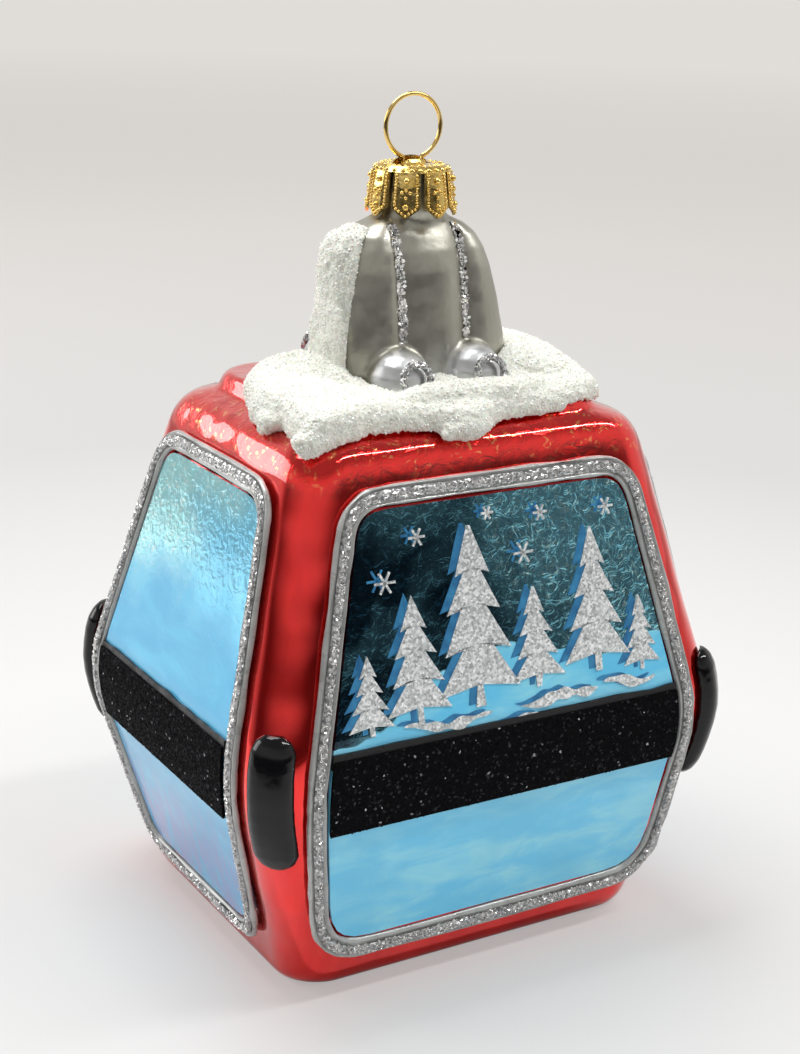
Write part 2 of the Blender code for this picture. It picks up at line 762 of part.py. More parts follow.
def closed_samples(points, count):
    """Points at even steps of a smooth closed curve through the points."""
    samples = []
    total = len(points)
    for step in range(count):
        place = step / count * total
        index = int(place)
        t = place - index
        a, b, c, d = (points[(index + k) % total] for k in (-1, 0, 1, 2))
        samples.append(
            0.5 * (2 * b + (c - a) * t + (2 * a - 5 * b + 4 * c - d) * t**2 + (3 * b - a - 3 * c + d) * t**3)
        )
    return samples


SIDE_SNOW_SHARES = (0.20, 0.30, 0.50, 0.78, 0.95, 0.92, 0.50)


def make_side_snow():
    """A coat of snow on the hanger block's left side, thickest near its top."""
    inner = block_rings(SEAT)
    count = len(inner[0])
    first = count // 2 + FRONT_STEPS - 2
    indices = [(first + k) % count for k in range(SIDE_STEPS + 3)]
    rings = []
    for ring, share in zip(inner, SIDE_SNOW_SHARES):
        skin = [ring[i].copy() for i in indices]
        outside = []
        for place, point in enumerate(skin):
            bulge = math.sin(math.pi * (place + 0.5) / len(skin)) ** 0.6
            away = Vector((point.x, point.y, 0)).normalized()
            outside.append(point + away * SIDE_SNOW_THICKNESS * share * bulge)
        rings.append(skin + outside[::-1])
    lowest = roof_top() + SNOW_DEPTH + 2 * SEAT
    start = next(index for index, ring in enumerate(rings) if ring[0].z > lowest)
    below, above = rings[start - 1], rings[start]
    share = (lowest - below[0].z) / (above[0].z - below[0].z)
    foot = [a.lerp(b, share) for a, b in zip(below, above)]
    loft("side_snow", [foot] + rings[start:], "snow_paste")


# Crown cap

def make_pivot():
    """The place that the cap turns about and the wire ring rocks about, in the middle of the slot."""
    pivot = bpy.data.objects.new("cap_pivot", None)
    pivot.location = (0, 0, cap_top())
    bpy.context.scene.collection.objects.link(pivot)
    return pivot


def carry(obj, pivot):
    obj.parent = pivot
    obj.matrix_parent_inverse = Matrix.Translation(-pivot.location)


def cap_top():
    return roof_top() + BLOCK_HEIGHT + NECK_HEIGHT + CAP_CLEARANCE + CAP_SHEET


def cap_radius():
    return NECK_RADIUS + CAP_CLEARANCE + CAP_SHEET


def make_cap(pivot):
    """A stamped cap of thin sheet, with a slotted crown and a skirt of pointed petals."""
    radius = cap_radius()
    top = cap_top()
    shoulder = top - CAP_ROUNDING
    columns = 7
    pitch = 2 * math.pi / PETALS
    gap = PETAL_GAP / radius
    places = []
    for petal in range(PETALS):
        start = CAP_TURN - math.pi / 2 + pitch * (petal - 0.5) + gap / 2
        for column in range(columns + 1):
            places.append((start + (pitch - gap) * column / columns, column, abs(2 * column / columns - 1)))
    bm = bmesh.new()

    def ring(distance, height):
        return [bm.verts.new((distance * math.cos(a), distance * math.sin(a), height)) for a, _, _ in places]

    crown = [ring(0.35 * radius, top), ring(radius - CAP_ROUNDING, top), ring(radius, shoulder)]
    count = len(places)
    for inner, outer in zip(crown, crown[1:]):
        for i in range(count):
            j = (i + 1) % count
            bm.faces.new((inner[i], outer[i], outer[j], inner[j]))
    bm.faces.new(crown[0])
    skirt = [crown[-1]]
    for share in (0.35, 0.75, 1.0):
        row = []
        for angle, _, aside in places:
            height = shoulder - (CAP_DROP - CAP_ROUNDING - PETAL_POINT * aside) * share
            distance = radius + CAP_FLARE * share + PETAL_BULGE * (1 - aside**2)
            row.append(bm.verts.new((distance * math.cos(angle), distance * math.sin(angle), height)))
        skirt.append(row)
    for upper, lower in zip(skirt, skirt[1:]):
        for i in range(count):
            if places[i][1] < columns:
                bm.faces.new((upper[i], lower[i], lower[i + 1], upper[i + 1]))
    bmesh.ops.recalc_face_normals(bm, faces=bm.faces)
    if bm.faces[0].normal.z < 0:
        bmesh.ops.reverse_faces(bm, faces=bm.faces)
    mesh = bpy.data.meshes.new("crown_cap")
    bm.to_mesh(mesh)
    bm.free()
    cap = add_mesh("crown_cap", mesh, "gold_sheet")
    sheet = cap.modifiers.new("Sheet", "SOLIDIFY")
    sheet.thickness = CAP_SHEET
    sheet.offset = -1
    use_boolean(cap, make_hood(), "UNION")
    use_boolean(cap, make_slot_cutter(), "DIFFERENCE")
    carry(cap, pivot)


def make_hood():
    """The raised hood behind the slot."""
    bm = bmesh.new()
    size = (SLOT_LENGTH / 2, SLOT_LENGTH / 3, HOOD_RISE + CAP_SHEET / 2)
    place = Vector((0, slot_width() / 2, cap_top() - CAP_SHEET / 2))
    matrix = Matrix.Translation(place) @ Matrix.Diagonal((*size, 1))
    bmesh.ops.create_uvsphere(bm, u_segments=20, v_segments=10, radius=1, matrix=matrix)
    cut_below(bm, place.z + CAP_SHEET / 20)
    mesh = bpy.data.meshes.new("cap_hood")
    bm.to_mesh(mesh)
    bm.free()
    return add_mesh("cap_hood", mesh, None, cutter=True)


def slot_width():
    return WIRE_DIAMETER + 2 * WIRE_CLEARANCE


def make_slot_cutter():
    depth = 4 * (HOOD_RISE + CAP_SHEET)
    return box_cutter("slot_cutter", (SLOT_LENGTH, slot_width(), depth), (0, 0, cap_top()))


# Wire ring

def make_ring(pivot):
    """A round loop of wire whose two legs go down through the slot and spring apart in the neck."""
    mean = (RING_DIAMETER - WIRE_DIAMETER) / 2
    foot = SLOT_LENGTH / 2 - WIRE_DIAMETER / 2 - WIRE_CLEARANCE
    centre = cap_top() + WIRE_CLEARANCE + WIRE_DIAMETER / 2 + mean
    open_angle = math.asin(foot / mean)
    leg = [
        Vector((-LEG_SPREAD, 0, cap_top() - LEG_LENGTH)),
        Vector((-(LEG_SPREAD + foot) / 2, 0, cap_top() - LEG_LENGTH / 2)),
        Vector((-foot, 0, cap_top() - LEG_LENGTH / 8)),
        Vector((-foot, 0, cap_top())),
    ]
    loop_points = []
    steps = 36
    for step in range(steps + 1):
        angle = open_angle + (2 * math.pi - 2 * open_angle) * step / steps
        loop_points.append(Vector((-mean * math.sin(angle), 0, centre - mean * math.cos(angle))))
    down = [Vector((-point.x, 0, point.z)) for point in reversed(leg)]
    ring = tube("wire_ring", leg + loop_points + down, WIRE_DIAMETER / 2, "gold_wire")
    carry(ring, pivot)


def main():
    make_cabin()
    cabin_cutter = make_cabin_cutter()
    make_block()
    for side in SIDES:
        make_window(side)
    for name, sx, sy in (
        ("front_left", -1, -1),
        ("front_right", 1, -1),
        ("back_left", -1, 1),
        ("back_right", 1, 1),
    ):
        make_bumper(f"bumper_{name}", sx, sy, cabin_cutter)
    make_seams()
    make_boss_rings()
    block_cutter = loft("block_cutter", block_rings(SEAT, bottom=-0.004), None, cutter=True)
    dome_cutter = dome("dome_cutter", SEAT, forward=SEAT + 3 * BOSS_RING_WIRE)
    make_snow(cabin_cutter, block_cutter, dome_cutter)
    make_side_snow()
    pivot = make_pivot()
    make_cap(pivot)
    make_ring(pivot)


clear_scene()
finishes = make_finishes()
main()
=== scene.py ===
# %% [markdown]
# # A blown-glass gondola ornament, dressed step by step
#
# The real thing is a tree ornament. Glass was blown into a mould shaped like a gondola cabin, silvered on
# the inside, coated with coloured lacquer and decorated with glitter and snow paste. A stamped metal cap
# with a wire ring closes its neck.
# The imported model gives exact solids. This lesson puts a finished skin on each of them, in the same place.

import math

import bmesh
import bpy
import numpy as np
from mathutils import Matrix, Vector, noise


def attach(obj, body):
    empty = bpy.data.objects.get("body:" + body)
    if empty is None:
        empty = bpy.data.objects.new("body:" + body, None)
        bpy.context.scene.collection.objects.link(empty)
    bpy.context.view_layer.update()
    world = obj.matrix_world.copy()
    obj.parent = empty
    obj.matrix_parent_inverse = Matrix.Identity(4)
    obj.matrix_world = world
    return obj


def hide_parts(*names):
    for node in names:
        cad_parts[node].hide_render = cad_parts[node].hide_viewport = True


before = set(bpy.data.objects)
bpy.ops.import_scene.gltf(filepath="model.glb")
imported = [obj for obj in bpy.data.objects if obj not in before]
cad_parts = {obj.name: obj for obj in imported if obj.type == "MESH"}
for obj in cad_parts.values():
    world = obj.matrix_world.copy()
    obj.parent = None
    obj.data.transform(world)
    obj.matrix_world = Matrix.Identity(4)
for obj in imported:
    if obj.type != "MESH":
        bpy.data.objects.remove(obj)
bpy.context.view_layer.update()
MM = 0.001

# %% [markdown]
# ## The camera
#
# The photograph was taken from the front left and a little above, close to the ornament, so the upright
# edges lean together. A camera that stands at that distance gives the same lean. It is placed from the turn,
# rise and distance that were found by laying the solids over the photograph.

# %% Place the camera
PICTURE_HEIGHT = 1054
FOCAL_PIXELS = 1902.56
SENSOR = 36.0
CAMERA_TURN = math.radians(-31.393)
CAMERA_RISE = math.radians(17.623)
CAMERA_ROLL = math.radians(1.897)
CAMERA_DISTANCE = 0.26096
AIM_HEIGHT = 0.05321


def place_camera():
    back = Vector((
        math.sin(CAMERA_TURN) * math.cos(CAMERA_RISE),
        -math.cos(CAMERA_TURN) * math.cos(CAMERA_RISE),
        math.sin(CAMERA_RISE),
    ))
    right = (-back).cross(Vector((0, 0, 1))).normalized()
    turned = Matrix((right, back.cross(right), back)).transposed().to_4x4()
    camera = bpy.data.objects.new("camera", bpy.data.cameras.new("camera"))
    camera.data.sensor_width = SENSOR
    camera.data.lens = FOCAL_PIXELS * SENSOR / PICTURE_HEIGHT
    camera.data.clip_start = 0.01
    centre = Vector((0, 0, AIM_HEIGHT)) + back * CAMERA_DISTANCE
    camera.matrix_world = Matrix.Translation(centre) @ turned @ Matrix.Rotation(CAMERA_ROLL, 4, "Z")
    bpy.context.scene.collection.objects.link(camera)
    bpy.context.scene.camera = camera
    return camera


camera = place_camera()
print("lens in mm:", round(camera.data.lens, 1))

# %% [markdown]
# ## A short way to write finishes
#
# Every finish here is one Principled shader with a few nodes in front of it. Patterns read Object
# coordinates, which are metres on this ornament, so a noise scale of one over the grain's size gives grain of
# that size. This small class keeps each recipe down to a few lines.

# %% Helpers for finishes


class Finish:
    """A material with one Principled shader, and short ways to feed its sockets.

    The colour and roughness that it starts with are the plain ones, for sockets that no pattern feeds.
    """

    def __init__(self, name, colour, roughness, metallic=0.0, coat=(0.0, 0.03), specular=0.5, **more):
        self.material = bpy.data.materials.new(name)
        self.material.use_nodes = True
        self.tree = self.material.node_tree
        self.shader = self.tree.nodes["Principled BSDF"]
        settings = {"Base Color": (*colour, 1), "Roughness": roughness, "Metallic": metallic,
                    "Coat Weight": coat[0], "Coat Roughness": coat[1], "Specular IOR Level": specular, **more}
        for socket, value in settings.items():
            self.shader.inputs[socket].default_value = value
        self.place = self.add("ShaderNodeTexCoord").outputs["Object"]

    def add(self, kind, inputs=None, **settings):
        node = self.tree.nodes.new(kind)
        for key, value in settings.items():
            setattr(node, key, value)
        for key, value in (inputs or {}).items():
            self.feed(node.inputs[key], value)
        return node

    def feed(self, socket, value):
        if isinstance(value, bpy.types.NodeSocket):
            self.tree.links.new(value, socket)
        else:
            socket.default_value = value

    def set(self, socket, value):
        self.feed(self.shader.inputs[socket], value)

    def stretched(self, x, y, z):
        """Object coordinates squeezed along each axis, for patterns that run one way."""
        return self.add("ShaderNodeMapping", {"Vector": self.place, "Scale": (x, y, z)}).outputs["Vector"]

    def noise(self, size, detail=2.0, rough=0.5, place=None, warp=0.0):
        """A cloudy pattern from 0 to 1 with clouds of that size."""
        inputs = {"Vector": place or self.place, "Scale": 1 / size, "Detail": detail, "Roughness": rough,
                  "Distortion": warp}
        return self.add("ShaderNodeTexNoise", inputs).outputs["Fac"]

    def cells(self, size):
        """A random colour in each small cell."""
        return self.add("ShaderNodeTexVoronoi", {"Vector": self.place, "Scale": 1 / size}).outputs["Color"]

    def grey_cells(self, size, channel="Red"):
        """A random value from 0 to 1 in each small cell."""
        return self.add("ShaderNodeSeparateColor", {"Color": self.cells(size)}).outputs[channel]

    def ramp(self, value, *stops):
        """Each stop is (position, colour)."""
        node = self.add("ShaderNodeValToRGB", {"Fac": value})
        ramp = node.color_ramp
        for index, (position, colour) in enumerate(stops):
            stop = ramp.elements[index] if index < 2 else ramp.elements.new(position)
            stop.position = position
            stop.color = (*colour, 1)
        return node.outputs["Color"]

    def span(self, value, low, high, to_low=0.0, to_high=1.0):
        """A value from low to high turned into one from to_low to to_high, with soft ends."""
        inputs = {"Value": value, "From Min": low, "From Max": high, "To Min": to_low, "To Max": to_high}
        return self.add("ShaderNodeMapRange", inputs, interpolation_type="SMOOTHSTEP").outputs["Result"]

    def calc(self, operation, a, b=0.0):
        node = self.add("ShaderNodeMath", operation=operation)
        self.feed(node.inputs[0], a)
        self.feed(node.inputs[1], b)
        return node.outputs["Value"]

    def vary_roughness(self, size, detail, low, high):
        self.set("Roughness", self.span(self.noise(size, detail), 0.3, 0.7, low, high))

    def mix(self, share, a, b):
        """Colour a where share is 0 and colour b where it is 1."""
        node = self.add("ShaderNodeMix", data_type="RGBA")
        self.feed(node.inputs["Factor"], share)
        self.feed(node.inputs[6], (*a, 1) if isinstance(a, tuple) else a)
        self.feed(node.inputs[7], (*b, 1) if isinstance(b, tuple) else b)
        return node.outputs[2]

    def vector(self, operation, a, b):
        return self.add("ShaderNodeVectorMath", {0: a, 1: b}, operation=operation).outputs[0]

    def reach(self, direction):
        """How far a point lies in that direction."""
        inputs = {0: self.place, 1: direction}
        return self.add("ShaderNodeVectorMath", inputs, operation="DOT_PRODUCT").outputs["Value"]

    def axis(self, which):
        return self.add("ShaderNodeSeparateXYZ", {"Vector": self.place}).outputs[which]

    def bump(self, height, depth, before=None):
        """Raises the surface by up to depth metres where height is 1."""
        inputs = {"Height": height, "Distance": depth, "Strength": 1.0}
        if before:
            inputs["Normal"] = before
        return self.add("ShaderNodeBump", inputs).outputs["Normal"]

    def flakes(self, size, tilt):
        """A normal that tips another way in each small cell, as flakes of glitter do."""
        colour = self.cells(size)
        shifted = self.vector("SUBTRACT", colour, (0.5, 0.5, 0.5))
        scaled = self.add("ShaderNodeVectorMath", {0: shifted, "Scale": tilt * 2}, operation="SCALE").outputs[0]
        normal = self.add("ShaderNodeNewGeometry").outputs["Normal"]
        return self.add("ShaderNodeVectorMath", {0: self.vector("ADD", normal, scaled)},
                        operation="NORMALIZE").outputs[0]


# %% [markdown]
# ## Short ways to make and place pieces
#
# A piece is built in a bmesh, written to an object at the origin, given its finish and tied to the CAD body
# that it moves with. `stand_in` also hides the CAD nodes that it stands for.

# %% Helpers for pieces


def place_mesh(name, mesh, finish):
    mesh.materials.append(finish.material)
    piece = bpy.data.objects.new(name, mesh)
    bpy.context.scene.collection.objects.link(piece)
    return piece


def new_piece(name, bm, finish, smooth=True):
    mesh = bpy.data.meshes.new(name)
    bm.to_mesh(mesh)
    bm.free()
    if smooth:
        mesh.shade_smooth()
    return place_mesh(name, mesh, finish)


def finish_node(node, finish):
    """Gives a CAD piece that keeps its shape its finish."""
    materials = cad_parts[node].data.materials
    materials.clear()
    materials.append(finish.material)


def stand_in(piece, body, slot, *nodes):
    """Ties the piece to its body, and hides the CAD nodes that it stands for. The slot is not used."""
    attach(piece, body)
    if nodes:
        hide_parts(*nodes)
    print(piece.name, "rides on", body, "faces:", len(piece.data.polygons))
    return piece


def merged_copy(*nodes):
    """A bmesh of CAD nodes whose loose triangles are merged, so that they can be shaped further."""
    bm = bmesh.new()
    for node in nodes:
        bm.from_mesh(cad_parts[node].data)
    bmesh.ops.remove_doubles(bm, verts=bm.verts, dist=1e-7)
    return bm


def apply_modifiers(piece):
    graph = bpy.context.evaluated_depsgraph_get()
    mesh = bpy.data.meshes.new_from_object(piece.evaluated_get(graph))
    piece.modifiers.clear()
    piece.data = mesh
    mesh.shade_smooth()
    return piece


def melt(piece, voxel, smoothing):
    """Turns overlapping bodies into one even skin and softens it."""
    remesh = piece.modifiers.new("Melt", "REMESH")
    remesh.mode = "VOXEL"
    remesh.voxel_size = voxel
    soften = piece.modifiers.new("Soften", "SMOOTH")
    soften.iterations = smoothing
    return apply_modifiers(piece)


def wobble(piece, *layers, keep=None):
    """Moves the skin in and out by smooth noise. Each layer is (size, depth); keep scales it by place."""
    moves = []
    for vertex in piece.data.vertices:
        shift = sum(depth * noise.noise(vertex.co / size) for size, depth in layers)
        moves.append(vertex.normal * shift * (keep(vertex.co) if keep else 1.0))
    for vertex, move in zip(piece.data.vertices, moves):
        vertex.co += move


# %% [markdown]
# ## The cabin glass
#
# The body is one soft-edged bubble: a hexagon seen from any side, with corners of the same radius all the way
# up. It could be a cube cut and bevelled, but bevels of different widths meet badly at the roof step.
# Here one face with rounded corners is the floor, and its rim is extruded upwards row by row, moving each
# quarter outwards or inwards, so the corner radius never changes.

# %% Shape the cabin glass
WAIST_WIDTH = 0.0720
WAIST_DEPTH = 0.0588
WAIST_HEIGHT = 0.0314
ROOF_EDGE_HEIGHT = 0.0703
CORNER_RADIUS = 0.0058
CABIN_ROWS = [
    # height, half width, half depth, how far its bend reaches
    (0.0, 0.0213, 0.0168, 0.0),
    (0.0, 0.0273, 0.0228, 0.0028),
    (WAIST_HEIGHT, WAIST_WIDTH / 2, WAIST_DEPTH / 2, 0.0065),
    (ROOF_EDGE_HEIGHT, 0.0261, 0.0204, 0.0040),
    (0.0720, 0.0215, 0.0174, 0.0007),
    (0.0742, 0.0207, 0.0166, 0.0011),
    (0.0742, 0.0098, 0.0050, 0.0),
]


def eased_rows(rows, steps):
    """The rows with each inner one rounded off by a short curve."""
    path = [Vector(rows[0][:3])]
    for before, row, after in zip(rows, rows[1:], rows[2:]):
        middle = Vector(row[:3])
        start = middle.lerp(Vector(before[:3]), min(0.5, row[3] / (Vector(before[:3]) - middle).length))
        end = middle.lerp(Vector(after[:3]), min(0.5, row[3] / (Vector(after[:3]) - middle).length))
        for step in range(steps + 1):
            t = step / steps
            path.append(start.lerp(middle, t).lerp(middle.lerp(end, t), t))
    path.append(Vector(rows[-1][:3]))
    return path


def shape_cabin(corner_steps=12, bend_steps=8, long_edge=0.0072, cuts=14):
    rows = eased_rows(CABIN_ROWS, bend_steps)
    bm = bmesh.new()
    bmesh.ops.create_grid(bm, x_segments=1, y_segments=1, size=1)
    bmesh.ops.scale(bm, vec=(rows[0][1], rows[0][2], 1), verts=bm.verts)
    bmesh.ops.bevel(bm, geom=bm.verts[:], offset=CORNER_RADIUS, segments=corner_steps, profile=0.5,
                    affect="VERTICES", material=-1)
    rim = [edge for edge in bm.edges if edge.is_boundary]
    for below, row in zip(rows, rows[1:]):
        grown = bmesh.ops.extrude_edge_only(bm, edges=rim)["geom"]
        rim = [part for part in grown if isinstance(part, bmesh.types.BMEdge) and part.is_boundary]
        up, out, deep = row - below
        for vertex in (part for part in grown if isinstance(part, bmesh.types.BMVert)):
            side, face = math.copysign(1, vertex.co.x), math.copysign(1, vertex.co.y)
            vertex.co += Vector((side * out, face * deep, up))
    bmesh.ops.edgeloop_fill(bm, edges=rim)
    long_edges = [edge for edge in bm.edges if edge.calc_length() > long_edge]
    bmesh.ops.subdivide_edges(bm, edges=long_edges, cuts=cuts, use_grid_fill=True)
    bmesh.ops.recalc_face_normals(bm, faces=bm.faces)
    return bm


# %% [markdown]
# ### Red lacquer over silver
#
# The glass is silvered inside, so the transparent red lacquer shines like a coloured mirror with a clear
# gloss over it. A metallic base with a strong coat gives both. Just below the roof edge, orange flecks show
# thin places in the lacquer and also serve as painted glints on the crinkled shoulder. The blown skin is never
# quite flat, so long soft bumps bend the reflections.

# %% Finish the cabin glass
ROOF_PLAIN_ABOVE = 0.0025
GLINT_FLECKS_FULL_BELOW = 0.0012
GLINT_FLECK_STRENGTH = 0.8
CRINKLED_BELOW_EDGE = 0.005
red_lacquer = Finish("red_lacquer", (0.74, 0.012, 0.014), 0.12, 0.9, coat=(1.0, 0.02))
streaks = red_lacquer.noise(0.0030, 4, 0.55, place=red_lacquer.stretched(1, 1, 0.30), warp=0.4)
deep_red = red_lacquer.ramp(streaks, (0.3, (0.78, 0.004, 0.004)), (0.72, (0.98, 0.016, 0.010)))
near_roof_edge = red_lacquer.span(
    red_lacquer.axis("Z"), ROOF_EDGE_HEIGHT - CRINKLED_BELOW_EDGE, ROOF_EDGE_HEIGHT)
# Orange flecks: thin lacquer, and painted glints on the crinkled shoulder below the roof edge.
thin_lacquer_glints = red_lacquer.span(red_lacquer.noise(0.0013, 5, 0.65, warp=1.0), 0.57, 0.64)
below_roof = red_lacquer.span(red_lacquer.axis("Z"), ROOF_EDGE_HEIGHT + ROOF_PLAIN_ABOVE,
                              ROOF_EDGE_HEIGHT + GLINT_FLECKS_FULL_BELOW, 0.0, GLINT_FLECK_STRENGTH)
thin_lacquer_glints = red_lacquer.calc("MULTIPLY", thin_lacquer_glints, red_lacquer.calc("MULTIPLY", near_roof_edge, below_roof))
red_lacquer.set("Base Color", red_lacquer.mix(thin_lacquer_glints, deep_red, (1.0, 0.36, 0.12)))
red_lacquer.vary_roughness(0.008, 3, 0.05, 0.13)
soft_bump = red_lacquer.bump(red_lacquer.noise(0.010, 1, 0.4), 0.00040)
crinkle = red_lacquer.noise(0.0026, 3, 0.5, warp=1.0)
crinkled = red_lacquer.bump(red_lacquer.calc("MULTIPLY", crinkle, near_roof_edge), 0.00018, soft_bump)
red_lacquer.set("Normal", crinkled)
red_lacquer.set("Coat Normal", red_lacquer.bump(red_lacquer.noise(0.005, 1, 0.4), 0.00005, soft_bump))

cabin = new_piece("cabin_glass_skin", shape_cabin(), red_lacquer)
wobble(cabin, (0.016, 0.00018), (0.007, 0.00004), keep=lambda place: min(place.z / 0.004, 1.0))
stand_in(cabin, "cabin", "red_glass", "cabin_glass")

# %% [markdown]
# ## The window panes
#
# Each window is a painted field of the same glass. Near the top the blue is transparent over the silver, and
# the silver is crinkled like ice. Lower down a sky-blue paint covers it, with a wavy brushed edge.
# The CAD panes have the right shape, so they stay and only get finishes. A brushed edge is where the height of
# a point, pushed up and down by noise, passes a limit. The ice is painted darker to one side and lighter to the
# other and towards the top, as a painted reflection of a dark and a light part of the room. The curls in the
# ice are painted highlights: thin pale lines where a twisted noise crosses its middle value.

# %% Finish the window panes
SIDES = ("front", "back", "left", "right")
FRONT_TINTS = ((0.15, 0.66, 1.0), (0.40, 0.89, 1.0))
SIDE_TINTS = ((0.035, 0.43, 0.76), (0.09, 0.59, 0.88))
LAVENDER = (0.22, 0.30, 0.62)
# The dark and light ends of each ice colour, darkened and lightened as a painted reflection of the room.
FRONT_ICE_PAINTED_REFLECTION = ((0.002, 0.026, 0.048), (0.28, 0.76, 0.94))
SIDE_ICE_PAINTED_REFLECTION = ((0.20, 0.66, 0.95), (0.42, 0.92, 1.00))
# Where the painted reflection turns from dark to light, across the pane and up it.
REFLECTION_LIGHTER_ACROSS = (-0.012, 0.018)
REFLECTION_LIGHTER_UP = (0.052, 0.068)
VIOLET_DOWN = (0.026, 0.012)
HILL_TOP = 0.004


def painted_pane(name, ice, tints, paint_top, paint_fall, blend=0.0002, violet=0.0, across="X"):
    """Ice painted dark to light as a reflection and with highlight curls, and opaque paint of two tints below a
    wavy edge.

    The edge lies at paint_top, falls off to the sides by paint_fall and is as soft as blend. violet is the
    share of lavender low down.
    """
    pane = Finish(name, tints[0], 0.12, 0.6, coat=(0.6, 0.03))
    height = pane.axis("Z")
    side = pane.axis(across)
    dark, light = ice
    # The ice's colour from dark to light by place across and up is a painted reflection, with random clouds
    # added.
    drift = pane.calc("ADD", pane.span(side, *REFLECTION_LIGHTER_ACROSS), pane.span(height, *REFLECTION_LIGHTER_UP, 0.0, 0.5))
    reflection_clouds = pane.calc("ADD", drift, pane.span(pane.noise(0.013, 3, 0.5, warp=0.8), 0.3, 0.7, -0.30, 0.30))
    sheen = pane.mix(reflection_clouds, dark, light)
    # Painted highlights: thin pale curls on the ice, more of them where the painted reflection is light.
    swirl = pane.calc("ABSOLUTE", pane.calc("SUBTRACT", pane.noise(0.0012, 1, 0.5, warp=1.2), 0.5))
    curl_highlights = pane.calc("MULTIPLY", pane.span(swirl, 0.030, 0.008), pane.span(reflection_clouds, 0.25, 0.85, 0.02, 0.95))
    curl_highlight_colour = tuple(min(1.0, c * 1.15 + 0.30) for c in light)
    sheen = pane.mix(curl_highlights, sheen, curl_highlight_colour)
    brush = pane.noise(0.0040, 4, 0.6, place=pane.stretched(0.35, 0.35, 1.0), warp=0.6)
    paint = pane.mix(pane.span(brush, 0.35, 0.75, 0.0, 0.75), *tints)
    pools = pane.span(pane.noise(0.014, 3), 0.4, 0.75, 0.0, 0.55)
    paint = pane.mix(pools, paint, tuple(c * 0.88 for c in tints[0]))
    if violet:
        fade = pane.span(height, *VIOLET_DOWN, 0.0, violet)
        wisps = pane.noise(0.0018, 4, 0.6, place=pane.stretched(1, 1, 0.12))
        paint = pane.mix(pane.calc("MULTIPLY", fade, pane.span(wisps, 0.3, 0.6)), paint, LAVENDER)
    aside = pane.calc("MULTIPLY", pane.calc("SUBTRACT", side, HILL_TOP), paint_fall)
    edge = pane.calc("MULTIPLY", pane.calc("MULTIPLY", aside, aside), -1.0)
    edge = pane.calc("ADD", edge, pane.span(pane.noise(0.010, 3, 0.5), 0.2, 0.8, -0.003, 0.003))
    above = pane.span(pane.calc("SUBTRACT", height, edge), paint_top - blend, paint_top + blend)
    pane.set("Base Color", pane.mix(above, paint, sheen))
    pane.set("Metallic", pane.span(above, 0, 1, 0.0, 0.90))
    pane.set("Roughness", pane.span(above, 0, 1, 0.28, 0.09))
    crinkle = pane.noise(0.0016, 2, 0.5, warp=1.3)
    crinkle = pane.calc("MULTIPLY", crinkle, pane.span(above, 0, 1, 0.12, 1.0))
    pane.set("Normal", pane.bump(crinkle, 0.00012 if across == "X" else 0.00006))
    pane.set("Coat Normal", pane.bump(pane.noise(0.007, 2), 0.00012))
    return pane


for side in SIDES[:2]:
    paint = painted_pane(f"{side}_pane_paint", FRONT_ICE_PAINTED_REFLECTION, FRONT_TINTS, paint_top=0.0445, paint_fall=3.0)
    finish_node(f"pane_{side}", paint)
for side in SIDES[2:]:
    paint = painted_pane(f"{side}_pane_paint", SIDE_ICE_PAINTED_REFLECTION, SIDE_TINTS, paint_top=0.0500, paint_fall=2.0,
                         blend=0.006, violet=0.9, across="Y")
    finish_node(f"pane_{side}", paint)
print("the four panes keep their CAD shape")

# %% [markdown]
# ## The window frames
#
# The frames are ridges in the glass, painted grey by hand. The CAD ring has the right section but few faces.
# Its merged triangles are joined back into quads, and Subdivision Surface rounds the lips. A little noise
# makes the painted edges uneven.

# %% Make the window frames
grey_paint = Finish("grey_frame_paint", (0.40, 0.41, 0.40), 0.3, 0.15, coat=(0.5, 0.12))
worn = grey_paint.noise(0.004, 4, 0.6)
grey_paint.set("Base Color", grey_paint.ramp(worn, (0.3, (0.33, 0.34, 0.33)), (0.7, (0.50, 0.51, 0.50))))
grey_paint.vary_roughness(0.002, 3, 0.22, 0.42)
grey_paint.set("Normal", grey_paint.bump(grey_paint.noise(0.0012, 4), 0.00005))


def rounded_copy(name, node, finish, levels):
    """A CAD ring with its triangles joined into quads and rounded by subdivision."""
    bm = merged_copy(node)
    bmesh.ops.join_triangles(bm, faces=bm.faces, angle_face_threshold=0.6, angle_shape_threshold=0.9)
    piece = new_piece(name, bm, finish)
    subdivide = piece.modifiers.new("Round", "SUBSURF")
    subdivide.levels = subdivide.render_levels = levels
    return apply_modifiers(piece)


for side in SIDES:
    lips = rounded_copy(f"window_frame_{side}_paint", f"window_frame_{side}", grey_paint, 2)
    wobble(lips, (0.003, 0.00022), (0.0012, 0.00006))
    stand_in(lips, "cabin", "grey_rim", f"window_frame_{side}")

# %% [markdown]
# ## Grains, flakes and crystals
#
# Silver glitter, black glitter and snow crystals are all the same job: thousands of small hard bits stuck on a
# skin. One grain is made by an operator. Its places are spread over the skin so that no two sit closer than a
# given spacing, with a fixed seed. Calling the operator for every grain would take minutes, so the copies are
# written into one mesh at once.

# %% Helpers that spread grains over a skin


def skin_triangles(obj):
    mesh = obj.data
    mesh.calc_loop_triangles()
    corners = np.zeros(len(mesh.loop_triangles) * 3, np.int32)
    mesh.loop_triangles.foreach_get("vertices", corners)
    points = np.zeros(len(mesh.vertices) * 3)
    mesh.vertices.foreach_get("co", points)
    return points.reshape(-1, 3)[corners.reshape(-1, 3)]


